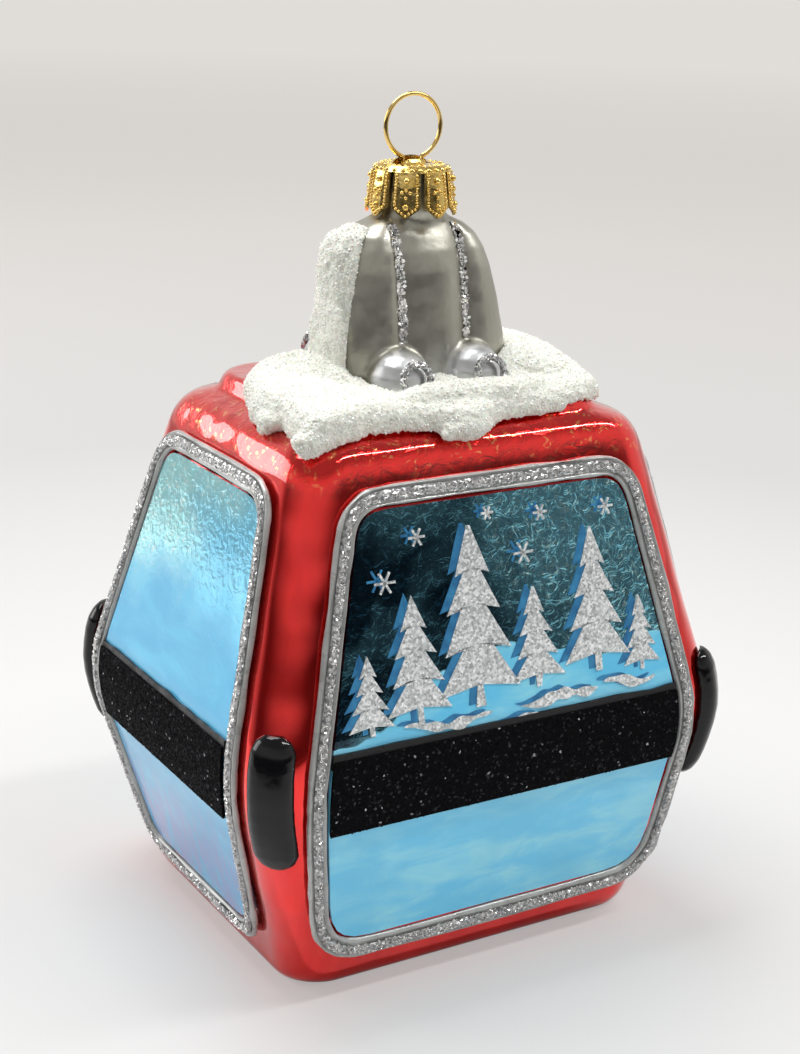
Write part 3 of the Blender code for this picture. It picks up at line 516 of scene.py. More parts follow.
def spread_spots(triangles, spacing, seed, keep=None):
    """Places on the triangles no nearer to each other than the spacing, and the way out of the skin there."""
    rng = np.random.default_rng(seed)
    a, b, c = triangles[:, 0], triangles[:, 1], triangles[:, 2]
    cross = np.cross(b - a, c - a)
    doubled = np.linalg.norm(cross, axis=1)
    count = int(doubled.sum() / 2 / spacing**2 * 4)
    chosen = rng.choice(len(triangles), count, p=doubled / doubled.sum())
    u, v = rng.random((2, count))
    u, v = np.where(u + v > 1, 1 - u, u)[:, None], np.where(u + v > 1, 1 - v, v)[:, None]
    places = a[chosen] + (b - a)[chosen] * u + (c - a)[chosen] * v
    outwards = cross[chosen] / doubled[chosen][:, None]
    if keep is not None:
        wanted = keep(places, outwards)
        places, outwards = places[wanted], outwards[wanted]
    taken, kept = {}, []
    cell_of = np.floor(places / spacing).astype(int)
    for index, (cell, place) in enumerate(zip(map(tuple, cell_of), places)):
        near = (taken.get((cell[0] + i, cell[1] + j, cell[2] + k)) for i in (-1, 0, 1) for j in (-1, 0, 1)
                for k in (-1, 0, 1))
        if all(other is None or ((places[other] - place) ** 2).sum() > spacing**2 for other in near):
            taken[cell] = index
            kept.append(index)
    return places[kept], outwards[kept]


def stamp_grains(name, grain, spots, size, tilt, seed, finish, sink=0.2):
    """Writes one copy of the grain at each spot, turned at random and tipped by up to tilt."""
    rng = np.random.default_rng(seed)
    places, outwards = spots
    count = len(places)
    up = outwards + tilt * rng.normal(size=(count, 3))
    up /= np.linalg.norm(up, axis=1)[:, None]
    along = np.cross(up, rng.normal(size=(count, 3)))
    along /= np.linalg.norm(along, axis=1)[:, None]
    turned = np.stack([along, np.cross(up, along), up], axis=2)
    sizes = size * rng.uniform(0.65, 1.35, count)
    corners = np.array([vertex.co for vertex in grain.verts])
    faces = np.array([[vertex.index for vertex in face.verts] for face in grain.faces])
    points = np.einsum("nij,kj->nki", turned, corners) * sizes[:, None, None]
    points += (places - outwards * size * sink)[:, None, :]
    every = (faces[None] + (np.arange(count) * len(corners))[:, None, None]).reshape(-1, faces.shape[1])
    mesh = bpy.data.meshes.new(name)
    mesh.from_pydata(points.reshape(-1, 3).tolist(), [], every.tolist())
    return place_mesh(name, mesh, finish)


def flake_grain():
    """A square flake, one unit wide."""
    bm = bmesh.new()
    bmesh.ops.create_cube(bm, size=1)
    bmesh.ops.scale(bm, vec=(1, 1, 0.22), verts=bm.verts)
    return bm


def crystal_grain():
    """A lumpy grain with eight faces, one unit wide."""
    bm = bmesh.new()
    bmesh.ops.create_icosphere(bm, subdivisions=1, radius=0.5)
    bmesh.ops.scale(bm, vec=(1, 0.8, 0.7), verts=bm.verts)
    return bm


flake = flake_grain()
crystal = crystal_grain()
print("faces of a flake and a crystal:", len(flake.faces), len(crystal.faces))

# %% [markdown]
# ### Silver glitter on the frames, the seams and the bosses
#
# Glitter sparkles because each flake is a flat mirror that faces another way. Real flakes do that here, lying
# on the CAD lines, which stay as the dark silver bed between the flakes.

# %% Lay the silver glitter
silver_flakes = Finish("silver_flakes", (0.86, 0.87, 0.88), 0.16, 0.8)
silver_flakes.set("Base Color", silver_flakes.ramp(
    silver_flakes.grey_cells(0.0005),
    (0.0, (0.52, 0.53, 0.54)), (0.50, (0.90, 0.90, 0.89)), (1.0, (1.0, 0.98, 0.94))))
glitter_bed = Finish("glitter_bed", (0.42, 0.43, 0.44), 0.35, 0.9)
glitter_bed.set("Base Color", glitter_bed.ramp(
    glitter_bed.noise(0.0004, 3), (0.3, (0.16, 0.16, 0.17)), (0.7, (0.6, 0.6, 0.6))))
glitter_bed.set("Normal", glitter_bed.flakes(0.00035, 0.5))

FLAKE_SPACING = 0.00023
FLAKE_WIDTH = 0.00029
FRAME_FLAKES_FACE_OUT = 0.85
FACING = {"front": (0, -1, 0), "back": (0, 1, 0), "left": (-1, 0, 0), "right": (1, 0, 0)}


def facing_of(node):
    """The way out of the ornament on the side that the node's name gives first."""
    return next(np.array(FACING[word]) for word in node.split("_") if word in FACING)


seed = 10
for node, obj in sorted(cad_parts.items()):
    if "glitter" not in node or "seam" in node:
        continue
    finish_node(node, glitter_bed)
    seed += 1
    out = facing_of(node)
    lowest = FRAME_FLAKES_FACE_OUT if "frame" in node else 0.0
    spots = spread_spots(skin_triangles(obj), FLAKE_SPACING, seed,
                         keep=lambda places, outwards: outwards @ out > lowest)
    flakes = stamp_grains(f"{node}_flakes", flake, spots, FLAKE_WIDTH, 0.5, seed, silver_flakes)
    stand_in(flakes, "cabin", "silver_glitter")

# %% [markdown]
# ### The black glitter band
#
# The band round the waist is fine black grit on black paint. A few grains are painted light grey as painted
# glints. A thin line of the flat paint shows above the grit.

# %% Lay the black bands
black_grit = Finish("black_grit", (0.006, 0.006, 0.007), 0.70, specular=0.03)
# Nearly black grains, and a few light grey ones as painted glints.
black_grit.set("Base Color", black_grit.ramp(
    black_grit.grey_cells(0.0003), (0.0, (0.003, 0.003, 0.004)), (0.90, (0.005, 0.005, 0.006)),
    (0.994, (0.04, 0.04, 0.045)), (1.0, (0.6, 0.6, 0.65))))
black_grit.set("Normal", black_grit.flakes(0.00026, 0.4))
GRIT_SPACING = 0.00036
GRIT_WIDTH = 0.00030
for side in SIDES:
    finish_node(f"waist_band_{side}", black_grit)
    seed += 1
    out = facing_of(side)
    spots = spread_spots(skin_triangles(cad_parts[f"waist_band_{side}"]), GRIT_SPACING, seed,
                         keep=lambda places, outwards: outwards @ out > 0.5)
    grit = stamp_grains(f"waist_band_{side}_grit", crystal, spots, GRIT_WIDTH, 0.9, seed, black_grit)
    stand_in(grit, "cabin", "black_glitter")

# %% [markdown]
# The paint under the grit was brushed on by hand and shows as a thin wavy line above it. A copy of the band's
# upper half, slid up its slope and cut off below, gives that line.

# %% Paint the thin line above each band
flat_black = Finish("flat_black_paint", (0.010, 0.010, 0.012), 0.35, specular=0.35)
flat_black.vary_roughness(0.002, 3, 0.25, 0.5)
LINE_SHOWS = 0.0008
LINE_SINKS = 0.0002
LINE_WAVE = 0.0003
BAND_CUT = WAIST_HEIGHT + 0.0022
CUTS_ALONG = 40
ROOF_INSETS = {"front": 0.0090, "back": 0.0090, "left": 0.0099, "right": 0.0099}
for side, inset in ROOF_INSETS.items():
    bm = merged_copy(f"waist_band_{side}")
    everything = bm.verts[:] + bm.edges[:] + bm.faces[:]
    bmesh.ops.bisect_plane(bm, geom=everything, plane_co=(0, 0, BAND_CUT), plane_no=(0, 0, 1),
                           clear_inner=True)
    bmesh.ops.edgeloop_fill(bm, edges=[edge for edge in bm.edges if edge.is_boundary])
    long_edges = [edge for edge in bm.edges if edge.calc_length() > 0.01]
    bmesh.ops.subdivide_edges(bm, edges=long_edges, cuts=CUTS_ALONG)
    out = Vector(FACING[side])
    up = Vector((0, 0, ROOF_EDGE_HEIGHT - WAIST_HEIGHT)) - out * inset
    bmesh.ops.translate(bm, vec=up.normalized() * LINE_SHOWS - out * LINE_SINKS, verts=bm.verts)
    line = new_piece(f"waist_line_{side}", bm, flat_black, smooth=False)
    for vertex in line.data.vertices:
        vertex.co.z += LINE_WAVE * noise.noise(vertex.co / 0.004)
    stand_in(line, "cabin", "black_gloss")

# %% [markdown]
# ## The corner bumpers
#
# Each corner carries a glossy black pad, blown with the glass. Copying the CAD pad, melting it to an even mesh
# and smoothing it gives the soft rim that thick paint leaves.

# %% Make the corner bumpers
black_gloss = Finish("black_gloss_paint", (0.004, 0.004, 0.005), 0.09, specular=0.3)
black_gloss.vary_roughness(0.003, 3, 0.05, 0.10)
black_gloss.set("Normal", black_gloss.bump(black_gloss.noise(0.005, 3), 0.00016))
for corner in ("front_left", "front_right", "back_left", "back_right"):
    pad = new_piece(f"bumper_{corner}_paint", merged_copy(f"bumper_{corner}"), black_gloss)
    melt(pad, voxel=0.00025, smoothing=14)
    wobble(pad, (0.005, 0.00012))
    stand_in(pad, "cabin", "black_gloss", f"bumper_{corner}")

# %% [markdown]
# ## The hanger block
#
# The silver block on the roof stands for the gondola's grip arm: three rounded flutes on the front and the
# back, with a round boss at the foot of each crease. In the glass all of it flows together. A copy of the CAD
# block is melted and smoothed, which turns the hard joins into soft creases.

# %% Make the hanger block
BOSS_STANDS_OUT = (0.0071, 0.0086)
BOSS_TOP = (0.0820, 0.0790)
satin_silver = Finish("satin_silver", (0.50, 0.50, 0.47), 0.36, 0.9, coat=(0.25, 0.35))
patches = satin_silver.noise(0.006, 4, 0.6, place=satin_silver.stretched(1, 1, 0.5))
aged = satin_silver.ramp(patches, (0.3, (0.33, 0.32, 0.27)), (0.7, (0.47, 0.46, 0.40)))
bulging = satin_silver.span(satin_silver.calc("ABSOLUTE", satin_silver.axis("Y")), *BOSS_STANDS_OUT)
low_down = satin_silver.span(satin_silver.axis("Z"), *BOSS_TOP)
on_bosses = satin_silver.calc("MULTIPLY", bulging, low_down)
satin_silver.set("Base Color", satin_silver.mix(on_bosses, aged, (0.60, 0.61, 0.62)))
satin_silver.vary_roughness(0.003, 4, 0.30, 0.44)
satin_silver.set("Normal", satin_silver.bump(satin_silver.noise(0.0025, 4), 0.00008))
block = new_piece("hanger_block_skin", merged_copy("hanger_block"), satin_silver)
melt(block, voxel=0.0003, smoothing=6)
wobble(block, (0.008, 0.00014), (0.002, 0.00002))
stand_in(block, "cabin", "silver_glass", "hanger_block")

# %% [markdown]
# The seams are lines of glitter down the creases. The flakes are spread on the block's own new skin, wherever
# it is close enough to the middle of the CAD seam, so none of them floats over the softened crease.

# %% Lay the seams
SEAM_HALF_WIDTHS = {"a": 0.00062, "b": 0.00046}
SEAM_LEVELS = 18
NEAREST = 12
INSIDE_BLOCK = 0.003
RUNS_LOWER = 0.0006
SEAM_FLAKE_SPACING = 0.00024
SEAM_FLAKE_WIDTH = 0.00036


def seam_spots(node, half_width, seed):
    points = np.array([vertex.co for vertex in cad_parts[node].data.vertices])
    levels = np.linspace(points[:, 2].min(), points[:, 2].max(), SEAM_LEVELS)
    middles = [points[np.argsort(abs(points[:, 2] - level))[:NEAREST], 0].mean() for level in levels]
    out = facing_of(node)

    def on_seam(places, outwards):
        aside = abs(places[:, 0] - np.interp(places[:, 2], levels, middles))
        ragged = np.array([1 + 0.3 * noise.noise(Vector(place) / 0.0009) for place in places])
        inside = (places[:, 2] > levels[0] - RUNS_LOWER) & (places[:, 2] < levels[-1])
        return inside & (aside < half_width * ragged) & (places @ out > INSIDE_BLOCK) & (outwards @ out > 0)

    return spread_spots(skin_triangles(block), SEAM_FLAKE_SPACING, seed, keep=on_seam)


for face in ("front", "back"):
    for place, half_width in SEAM_HALF_WIDTHS.items():
        node = f"seam_glitter_{face}_{place}"
        seed += 1
        spots = seam_spots(node, half_width, seed)
        flakes = stamp_grains(f"{node}_flakes", flake, spots, SEAM_FLAKE_WIDTH, 0.5, seed, silver_flakes,
                              sink=-0.25)
        stand_in(flakes, "cabin", "silver_glitter", node)

# %% [markdown]
# ## The snow
#
# The snow is a thick white paste with glass crystals in it. It was spooned on, so it has a lumpy top, a rolled
# edge and drips. Copies of the two CAD heaps and a few stretched spheres for the drips are melted into one
# skin, noise makes it granular, and crystals are spread over it.

# %% Make the snow
snow_paste = Finish("snow_paste", (0.86, 0.85, 0.80), 0.6, **{
    "Subsurface Weight": 0.15, "Subsurface Scale": 0.0008, "Sheen Weight": 0.15,
})
snow_shade = snow_paste.noise(0.0005, 4, 0.6)
snow_paste.set("Base Color", snow_paste.ramp(snow_shade, (0.3, (0.60, 0.61, 0.54)), (0.62, (0.86, 0.87, 0.79))))
snow_paste.set("Normal", snow_paste.bump(snow_paste.noise(0.0004, 4, 0.65), 0.00012))
ice_crystal = Finish("ice_crystal", (0.92, 0.93, 0.90), 0.12, coat=(0.6, 0.03), specular=0.9)
ice_crystal.set("Base Color", ice_crystal.ramp(
    ice_crystal.grey_cells(0.0004, "Green"),
    (0.0, (0.70, 0.70, 0.64)), (0.4, (0.87, 0.86, 0.80)), (1.0, (0.97, 0.96, 0.92))))

# %% [markdown]
# The sizes and places of the lumps are judged from the photograph: drips over the front edge, over the
# near corner and on the left, a ridge in front of the bosses, and a foot under the snow on the block's side.

# %% Push the heap together
SNOW_SPACING = 0.00038
SIDE_SNOW_SHIFT = (0.0006, 0, 0)
LUMPS = [
    # middle and half sizes of each lump and drip that is pushed into the heap, in mm
    ((-2.4, -19.3, 72.2), (3.7, 1.5, 1.5)), ((-5.2, -19.7, 71.6), (1.4, 0.9, 0.8)),
    ((-23.2, -17.2, 72.2), (3.0, 2.2, 1.6)), ((-24.4, -18.0, 71.2), (1.5, 1.1, 0.9)),
    ((-23.6, -7.0, 72.4), (2.0, 2.4, 1.4)), ((-24.8, -7.2, 71.4), (0.8, 1.4, 0.8)),
    ((1.0, -14.6, 75.2), (13.0, 2.8, 2.0)), ((-0.5, -11.0, 75.2), (2.6, 3.4, 1.9)),
    ((0.0, -12.0, 74.3), (12.5, 3.4, 2.0)), ((0.0, -8.0, 73.6), (13.5, 5.0, 1.7)),
    ((-13.0, -1.2, 75.2), (2.2, 7.6, 3.0)), ((-12.3, -0.5, 80.0), (0.9, 5.0, 6.0)),
    ((15.5, -6.0, 75.8), (5.0, 7.0, 2.6)),
]


def shape_snow():
    bm = merged_copy("side_snow")
    bmesh.ops.translate(bm, vec=SIDE_SNOW_SHIFT, verts=bm.verts)
    bm.from_mesh(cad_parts["roof_snow"].data)
    bmesh.ops.remove_doubles(bm, verts=bm.verts, dist=1e-7)
    for place, size in LUMPS:
        matrix = Matrix.Translation(Vector(place) * MM) @ Matrix.Diagonal((*(Vector(size) * MM), 1))
        bmesh.ops.create_uvsphere(bm, u_segments=20, v_segments=12, radius=1, matrix=matrix)
    return bm


snow = new_piece("snow_paste_heap", shape_snow(), snow_paste)
melt(snow, voxel=0.0003, smoothing=8)
wobble(snow, (0.005, 0.0003), (0.0012, 0.00014), (0.0005, 0.00020))
stand_in(snow, "cabin", "snow", "roof_snow", "side_snow")
spots = spread_spots(skin_triangles(snow), SNOW_SPACING, 77)
crystals = stamp_grains("snow_crystals", crystal, spots, SNOW_SPACING, 0.9, 78, ice_crystal, sink=0.12)
stand_in(crystals, "cabin", "snow")

# %% [markdown]
# ## The crown cap
#
# The cap is stamped from thin gold-coloured sheet. The CAD cap has the sheet, the petals, the slot and the
# hood, so it keeps its mesh and gets a gold finish with a fine hammered grain.

# %% Finish the crown cap
gold_sheet = Finish("gold_sheet", (0.83, 0.58, 0.17), 0.2, 1.0)
gold_sheet.set("Base Color", gold_sheet.ramp(
    gold_sheet.noise(0.0014, 3), (0.3, (0.70, 0.46, 0.11)), (0.7, (0.92, 0.68, 0.25))))
gold_sheet.vary_roughness(0.0008, 3, 0.12, 0.26)
gold_sheet.set("Normal", gold_sheet.bump(gold_sheet.noise(0.0007, 3), 0.00006))
finish_node("crown_cap", gold_sheet)

# %% [markdown]
# ### The stamped pattern on the petals
#
# The pattern is real relief: a row of beads along the sides and the point of each petal, a few bigger dots down
# its middle, and rings of beads on the cap's top. A spot on a petal is given by how far it is across the petal
# and down it, so the beads follow the flare of the skirt.

# %% Press the beads
PETALS = 8
CAP_RADIUS = 0.00505
CAP_SHOULDER = 0.10195
SKIRT_DROP = 0.0059
SKIRT_FLARE = 0.0006
PETAL_POINT = 0.0015
PETAL_BULGE = 0.00025
PETAL_GAP = 0.0005
PETAL_WIDTH = math.tau / PETALS - PETAL_GAP / CAP_RADIUS
FIRST_PETAL = math.radians(-38) - math.pi / 2


def petal_place(petal, across, down):
    """across is from -1 to 1 over the petal, down from 0 at its shoulder to 1 at its rim."""
    angle = FIRST_PETAL + math.tau / PETALS * petal + across * PETAL_WIDTH / 2
    radius = CAP_RADIUS + SKIRT_FLARE * down + PETAL_BULGE * (1 - across**2)
    height = CAP_SHOULDER - (SKIRT_DROP - PETAL_POINT * abs(across)) * down
    return Vector((radius * math.cos(angle), radius * math.sin(angle), height))


PETAL_MARKS = [
    # across, down, radius of the bead in mm
    *((side * 0.74, 0.07 + 0.087 * step, 0.20) for side in (-1, 1) for step in range(10)),
    *((side * share, 0.905 + 0.02 * share, 0.21) for side in (-1, 1) for share in (0.22, 0.44, 0.64)),
    (0.0, 0.91, 0.21), (0.0, 0.17, 0.40), (0.0, 0.73, 0.42),
    (0.27, 0.45, 0.27), (-0.27, 0.45, 0.27), (0.0, 0.37, 0.25), (0.0, 0.53, 0.25),
]
TOP_BEADS = [
    # radius and height of the ring of beads, radius of a bead, all in mm, and how many
    (4.75, 102.12, 0.36, 26),
    (4.0, 102.58, 0.22, 30),
    (3.2, 102.58, 0.18, 24),
]


def press_beads():
    bm = bmesh.new()
    for petal in range(PETALS):
        for across, down, size in PETAL_MARKS:
            matrix = Matrix.Translation(petal_place(petal, across, down))
            bmesh.ops.create_icosphere(bm, subdivisions=2, radius=size * MM, matrix=matrix)
    for radius, height, size, count in TOP_BEADS:
        for step in range(count):
            angle = math.tau * (step + 0.5) / count + FIRST_PETAL
            place = Vector((radius * math.cos(angle), radius * math.sin(angle), height)) * MM
            bmesh.ops.create_icosphere(bm, subdivisions=2, radius=size * MM, matrix=Matrix.Translation(place))
    return bm


beads = new_piece("crown_cap_beads", press_beads(), gold_sheet)
stand_in(beads, "cap", "gold_sheet")

# %% [markdown]
# ## The wire ring
#
# The ring is one round wire bent into a loop, with both ends going down through the slot and springing apart
# in the neck. The wire's section is a circle, spun round the middle of the loop, and its two open ends are
# extruded down point by point.

# %% Bend the wire ring
RING_MIDDLE = 0.10735
RING_RADIUS = 0.0041
WIRE_RADIUS = 0.0003
HALF_OPENING = 0.0014
OPEN_ANGLE = math.asin(HALF_OPENING / RING_RADIUS)
RING_STEPS = 80
WIRE_SIDES = 14
LEG_POINTS = [  # half the distance between the legs, and height, in mm
    (1.35, 102.7), (1.5, 101.0), (2.1, 96.4), (2.7, 90.3),
]

gold_wire = Finish("gold_wire", (0.86, 0.60, 0.20), 0.14, 1.0)
gold_wire.set("Base Color", gold_wire.ramp(
    gold_wire.noise(0.002, 3), (0.3, (0.76, 0.50, 0.14)), (0.7, (0.93, 0.68, 0.27))))
gold_wire.vary_roughness(0.001, 3, 0.08, 0.2)


def bend_ring():
    bm = bmesh.new()
    start = Matrix.Translation((0, 0, RING_MIDDLE)) @ Matrix.Rotation(OPEN_ANGLE, 4, "Y")
    start = start @ Matrix.Translation((0, 0, -RING_RADIUS)) @ Matrix.Rotation(math.pi / 2, 4, "Y")
    section = bmesh.ops.create_circle(bm, segments=WIRE_SIDES, radius=WIRE_RADIUS, matrix=start)["verts"]
    first = bm.edges[:]
    spun = bmesh.ops.spin(bm, geom=section + first, cent=(0, 0, RING_MIDDLE), axis=(0, 1, 0),
                          angle=math.tau - 2 * OPEN_ANGLE, steps=RING_STEPS)
    last = [part for part in spun["geom_last"] if isinstance(part, bmesh.types.BMEdge)]
    for rim in (first, last):
        for half_gap, height in LEG_POINTS:
            rim_verts = {vertex for edge in rim for vertex in edge.verts}
            middle = sum((vertex.co for vertex in rim_verts), Vector()) / len(rim_verts)
            grown = bmesh.ops.extrude_edge_only(bm, edges=rim)["geom"]
            verts = [part for part in grown if isinstance(part, bmesh.types.BMVert)]
            rim = [part for part in grown if isinstance(part, bmesh.types.BMEdge)
                   and all(vertex in verts for vertex in part.verts)]
            side = math.copysign(1, middle.x)
            goal = Vector((side * half_gap, 0, height)) * MM
            flat = (goal - middle).normalized()
            for vertex in verts:
                offset = vertex.co - middle
                offset -= flat * offset.dot(flat)
                vertex.co = goal + offset.normalized() * WIRE_RADIUS
        bmesh.ops.edgeloop_fill(bm, edges=rim)
    bmesh.ops.recalc_face_normals(bm, faces=bm.faces)
    return bm


ring = new_piece("wire_ring_loop", bend_ring(), gold_wire)
stand_in(ring, "ring", "gold_wire", "wire_ring")

# %% [markdown]
# ## The painted design on the front and back windows
#
# The large windows carry a picture in silver glitter paint with a blue shadow beside it. Here it is a plain
# winter wood: fir trees on a hill, snow drifts and snowflakes. Each shape is modelled flat as a thin layer of
# paint, and one matrix lays the whole design on the sloping pane.

# %% Paint the design
silver_paint = Finish("silver_glitter_paint", (0.60, 0.62, 0.61), 0.34, 0.55, coat=(0.3, 0.2))
silver_paint.set("Base Color", silver_paint.ramp(
    silver_paint.grey_cells(0.00028),
    (0.0, (0.50, 0.53, 0.54)), (0.6, (0.74, 0.78, 0.79)), (1.0, (0.98, 0.99, 1.0))))
silver_paint.set("Normal", silver_paint.flakes(0.00028, 0.28))
shadow_paint = Finish("shadow_blue_paint", (0.035, 0.20, 0.42), 0.25, coat=(0.5, 0.1))
shadow_paint.set("Base Color", shadow_paint.ramp(
    shadow_paint.noise(0.002, 4), (0.35, (0.025, 0.15, 0.34)), (0.65, (0.05, 0.27, 0.52))))

# %% [markdown]
# A fir is a narrow grid whose rows are pulled wide and narrow in turn, with the tips let down a little. A drift
# is a brush stroke: a strip that swells and wavers by noise. A snowflake is three thin bars.

# %% Draw the winter wood
PANE_LIFT = 0.00075
UPPER_SLOPE = Vector((0, ROOF_INSETS["front"], ROOF_EDGE_HEIGHT - WAIST_HEIGHT)).normalized()
TREE_ROWS = [
    # share of the height in the middle, half width, and how far the branch tips droop
    (0.0, 0.05, 0.0), (0.12, 0.05, 0.0), (0.13, 0.50, 0.05), (0.34, 0.17, 0.0), (0.35, 0.40, 0.05),
    (0.56, 0.12, 0.0), (0.57, 0.30, 0.045), (0.76, 0.08, 0.0), (0.77, 0.19, 0.04), (1.0, 0.012, 0.0),
]
TREES = [
    # place across and up the pane, height and width, in mm
    (-20.5, 6.0, 10.0, 6.5), (-13.5, 6.5, 16.0, 9.5), (-4.5, 7.0, 23.0, 12.5), (4.5, 8.0, 13.0, 8.0),
    (14.0, 8.5, 19.0, 10.5), (21.0, 7.5, 10.0, 6.0),
]
DRIFTS = [
    # from and to across, place up, and thickness, in mm
    (-16.0, -3.0, 5.9, 1.2), (1.5, 13.5, 6.2, 1.5), (-6.5, 4.5, 4.0, 0.9), (14.5, 23.0, 6.6, 1.1),
]
SNOWFLAKES = [
    # place across and up, and radius, in mm
    (-17.0, 24.5, 1.5), (-12.0, 29.5, 1.2), (3.5, 25.5, 1.5), (6.5, 30.3, 1.1), (16.8, 29.8, 1.2),
    (-1.5, 31.2, 0.9),
]
TREE_SWAY = 0.04
DRIFT_WAVE = 1.3
BAR_WIDTH = 0.16
SHADOW_LAYER = (-0.00005, 0.00008)
SILVER_LAYER = (0.0, 0.00018)
SHADOW_SHIFT = (-1.0, 0.4)


def add_tree(bm, across, up, height, width):
    grown = bmesh.ops.create_grid(bm, x_segments=2, y_segments=len(TREE_ROWS) - 1, size=0.5)["verts"]
    for vertex in grown:
        share, half_width, droop = TREE_ROWS[round((vertex.co.y + 0.5) * (len(TREE_ROWS) - 1))]
        side = 2 * vertex.co.x
        sway = TREE_SWAY * noise.noise(Vector((across, share * 9, side * 3)))
        vertex.co = Vector((
            (across + (side * half_width + sway) * width) * MM,
            (up + (share - droop * abs(side)) * height) * MM,
            0,
        ))


def add_drift(bm, start, end, up, thickness):
    grown = bmesh.ops.create_grid(bm, x_segments=30, y_segments=1, size=0.5)["verts"]
    for vertex in grown:
        share, side = vertex.co.x + 0.5, vertex.co.y
        across = start + share * (end - start)
        swell = noise.noise(Vector((across / 2.2, up, 0)))
        half = thickness * side * (0.05 + math.sin(math.pi * share) ** 0.7) * (1 + 0.9 * swell)
        wave = DRIFT_WAVE * noise.noise(Vector((across / 6, up, 4)))
        vertex.co = Vector((across, up + wave + half, 0)) * MM


def add_snowflake(bm, across, up, radius):
    for step in range(3):
        matrix = Matrix.Translation(Vector((across, up, 0)) * MM) @ Matrix.Rotation(step * math.pi / 3, 4, "Z")
        matrix = matrix @ Matrix.Diagonal((radius * MM, BAR_WIDTH * MM, 1, 1))
        bmesh.ops.create_grid(bm, x_segments=1, y_segments=1, size=1, matrix=matrix)


def paint_design(name, side, finish, slot, layer, shift=(0, 0)):
    """The whole design as one layer of paint between two lifts off the pane, shifted by mm across and up."""
    bottom, top = layer
    bm = bmesh.new()
    for tree in TREES:
        add_tree(bm, *tree)
    for drift in DRIFTS:
        add_drift(bm, *drift)
    for snowflake in SNOWFLAKES:
        add_snowflake(bm, *snowflake)
    across = Vector((1, 0, 0))
    out = across.cross(UPPER_SLOPE)
    origin = Vector((0, -WAIST_DEPTH / 2, WAIST_HEIGHT)) + out * (PANE_LIFT + bottom)
    lay = Matrix.Translation(origin) @ Matrix((across, UPPER_SLOPE, out)).transposed().to_4x4()
    lay = Matrix.Rotation(0 if side == "front" else math.pi, 4, "Z") @ lay
    bmesh.ops.translate(bm, vec=(shift[0] * MM, shift[1] * MM, 0), verts=bm.verts)
    raised = bmesh.ops.extrude_face_region(bm, geom=bm.faces[:], use_keep_orig=True)["geom"]
    raised = [part for part in raised if isinstance(part, bmesh.types.BMVert)]
    bmesh.ops.translate(bm, vec=(0, 0, top - bottom), verts=raised)
    bmesh.ops.transform(bm, matrix=lay, verts=bm.verts)
    bmesh.ops.recalc_face_normals(bm, faces=bm.faces)
    piece = new_piece(name, bm, finish, smooth=False)
    stand_in(piece, "cabin", slot)


for side in ("front", "back"):
    paint_design(f"winter_wood_{side}_shadow", side, shadow_paint, "blue_pane", SHADOW_LAYER, SHADOW_SHIFT)
    paint_design(f"winter_wood_{side}_silver", side, silver_paint, "silver_glitter", SILVER_LAYER)

# %% [markdown]
# ## Floor, background and light
#
# The ornament stands on a pale floor under a large softbox, a narrow strip and a window on the left. The
# camera sees an even pale room. Reflections also see what made the real glass look like glass: a dark ceiling
# between the lamps and a dark room behind the camera, where the table ends. So Light Path's Is Camera Ray
# keeps both out of the picture itself. The background's brightness is the floor's own colour, with a painted
# shadow near the ornament and painted shade in a darker ring further out.

# %% Set the stage
bpy.context.scene.view_settings.view_transform = "Standard"
DARK_SIDE = (-0.60, -0.80, 0.0)
FLOOR_RADIUS = 6.0
FLOOR_GLOW = 0.5
ROOM_PALE = (0.745, 0.728, 0.70)
ROOM_DARK = (0.05, 0.05, 0.055)
TABLE_DARK = (0.03, 0.03, 0.035)
TABLE_END = (0.16, 0.45)
BEHIND_CAMERA = (-0.12, 0.30)
LOW_DOWN = (0.40, 0.10)
CEILING = (0.45, 0.70)
CEILING_DARKNESS = 0.6
# The floor's colour by distance is painted shade: darker close round the ornament as its shadow, and darker
# again in a ring about a quarter metre out, as the backdrop's fall-off of light.
FLOOR_PAINTED_SHADES = [
    # share of 2 m from the ornament, and colour
    (0.0, (0.71, 0.71, 0.705)), (0.03, (0.75, 0.745, 0.74)), (0.045, (0.78, 0.775, 0.77)),
    (0.12, (0.65, 0.645, 0.635)), (0.3, (0.80, 0.775, 0.75)), (0.9, (1.0, 0.97, 0.935)),
]


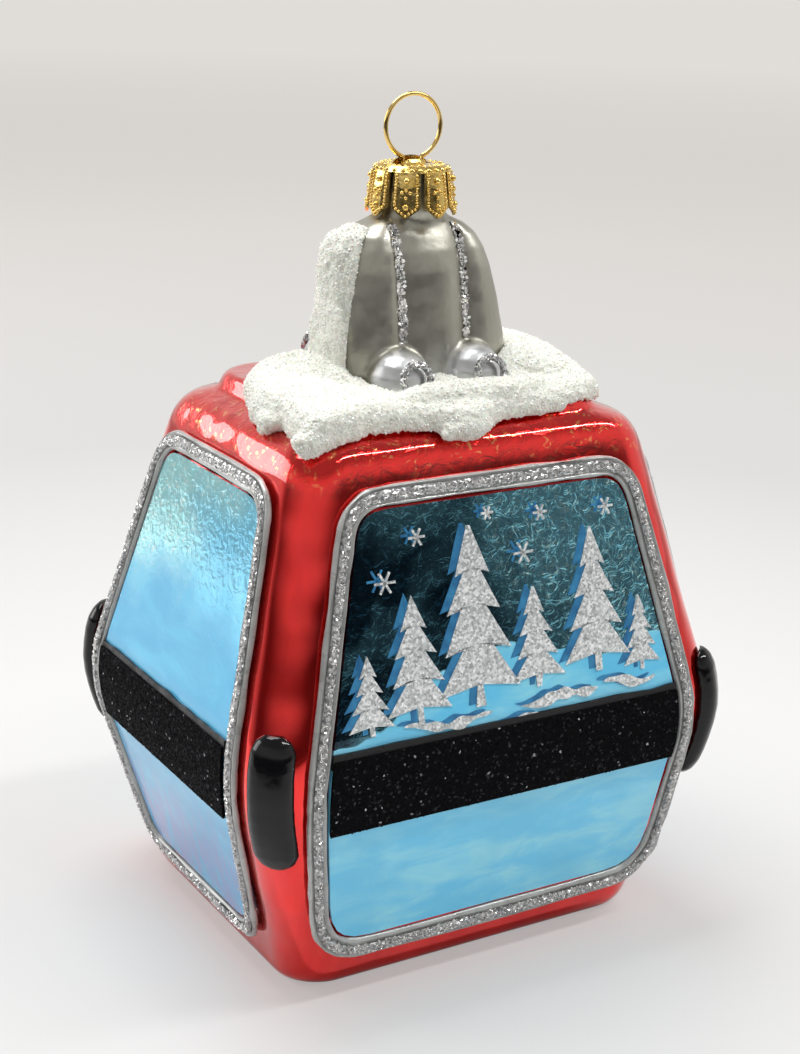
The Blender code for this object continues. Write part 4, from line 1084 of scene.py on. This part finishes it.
def floor_paper():
    """Pale paper whose own colour the camera sees, painted darker near the ornament and in a ring further out
    as shade, with the lamps' shadow kept on it.
    """
    paper = Finish("floor_paper", (0.76, 0.75, 0.74), 0.45, specular=0.3)
    distance = paper.add("ShaderNodeVectorMath", {0: paper.place}, operation="LENGTH").outputs["Value"]
    shade = paper.ramp(paper.calc("MULTIPLY", distance, 0.5), *FLOOR_PAINTED_SHADES)
    glow = paper.add("ShaderNodeEmission", {"Color": shade})
    seen = paper.add("ShaderNodeLightPath").outputs["Is Camera Ray"]
    table_ends = paper.span(paper.reach(DARK_SIDE), *TABLE_END)
    beyond = paper.calc("MULTIPLY", table_ends, paper.calc("SUBTRACT", 1.0, seen))
    paper.set("Base Color", paper.mix(beyond, shade, TABLE_DARK))
    share = paper.calc("MULTIPLY", seen, FLOOR_GLOW)
    mixed = paper.add("ShaderNodeMixShader", {0: share, 1: paper.shader.outputs[0], 2: glow.outputs[0]})
    paper.feed(paper.tree.nodes["Material Output"].inputs["Surface"], mixed.outputs[0])
    return paper


def make_floor():
    bm = bmesh.new()
    bmesh.ops.create_circle(bm, cap_ends=True, segments=96, radius=FLOOR_RADIUS)
    new_piece("floor", bm, floor_paper(), smooth=False)


class Room(Finish):
    """The world, with the same short ways to feed its Background shader."""

    def __init__(self, name):
        self.world = bpy.data.worlds.new(name)
        self.world.use_nodes = True
        self.tree = self.world.node_tree
        self.shader = self.tree.nodes["Background"]
        self.place = self.add("ShaderNodeTexCoord").outputs["Generated"]


def make_world():
    room = Room("room")
    height = room.axis("Z")
    front = room.span(room.reach(DARK_SIDE), *BEHIND_CAMERA)
    behind_camera = room.calc("MULTIPLY", front, room.span(height, *LOW_DOWN))
    ceiling = room.span(height, *CEILING, 0.0, CEILING_DARKNESS)
    dark = room.calc("MAXIMUM", behind_camera, ceiling)
    unseen = room.calc("SUBTRACT", 1.0, room.add("ShaderNodeLightPath").outputs["Is Camera Ray"])
    room.set("Color", room.mix(room.calc("MULTIPLY", dark, unseen), ROOM_PALE, ROOM_DARK))
    bpy.context.scene.world = room.world


def add_lamp(name, place, aim, size, power, along=(1, 0, 0)):
    lamp = bpy.data.objects.new(name, bpy.data.lights.new(name, "AREA"))
    lamp.data.shape = "RECTANGLE"
    lamp.data.size, lamp.data.size_y = size
    lamp.data.energy = power
    back = (Vector(place) - Vector(aim)).normalized()
    across = (Vector(along) - back * back.dot(Vector(along))).normalized()
    lamp.location = place
    lamp.rotation_euler = Matrix((across, back.cross(across), back)).transposed().to_euler()
    bpy.context.scene.collection.objects.link(lamp)


make_floor()
make_world()
add_lamp("top_softbox", (-0.06, 0.17, 0.60), (0, 0, 0.04), (0.40, 0.28), 2.95)
add_lamp("shoulder_strip", (0.27, -0.20, 0.50), (0, -0.02, 0.07), (0.42, 0.035), 1.4)
add_lamp("left_window", (-0.45, 0.50, 0.30), (0, 0, 0.05), (0.40, 0.30), 1.6, along=(0, 1, 0))
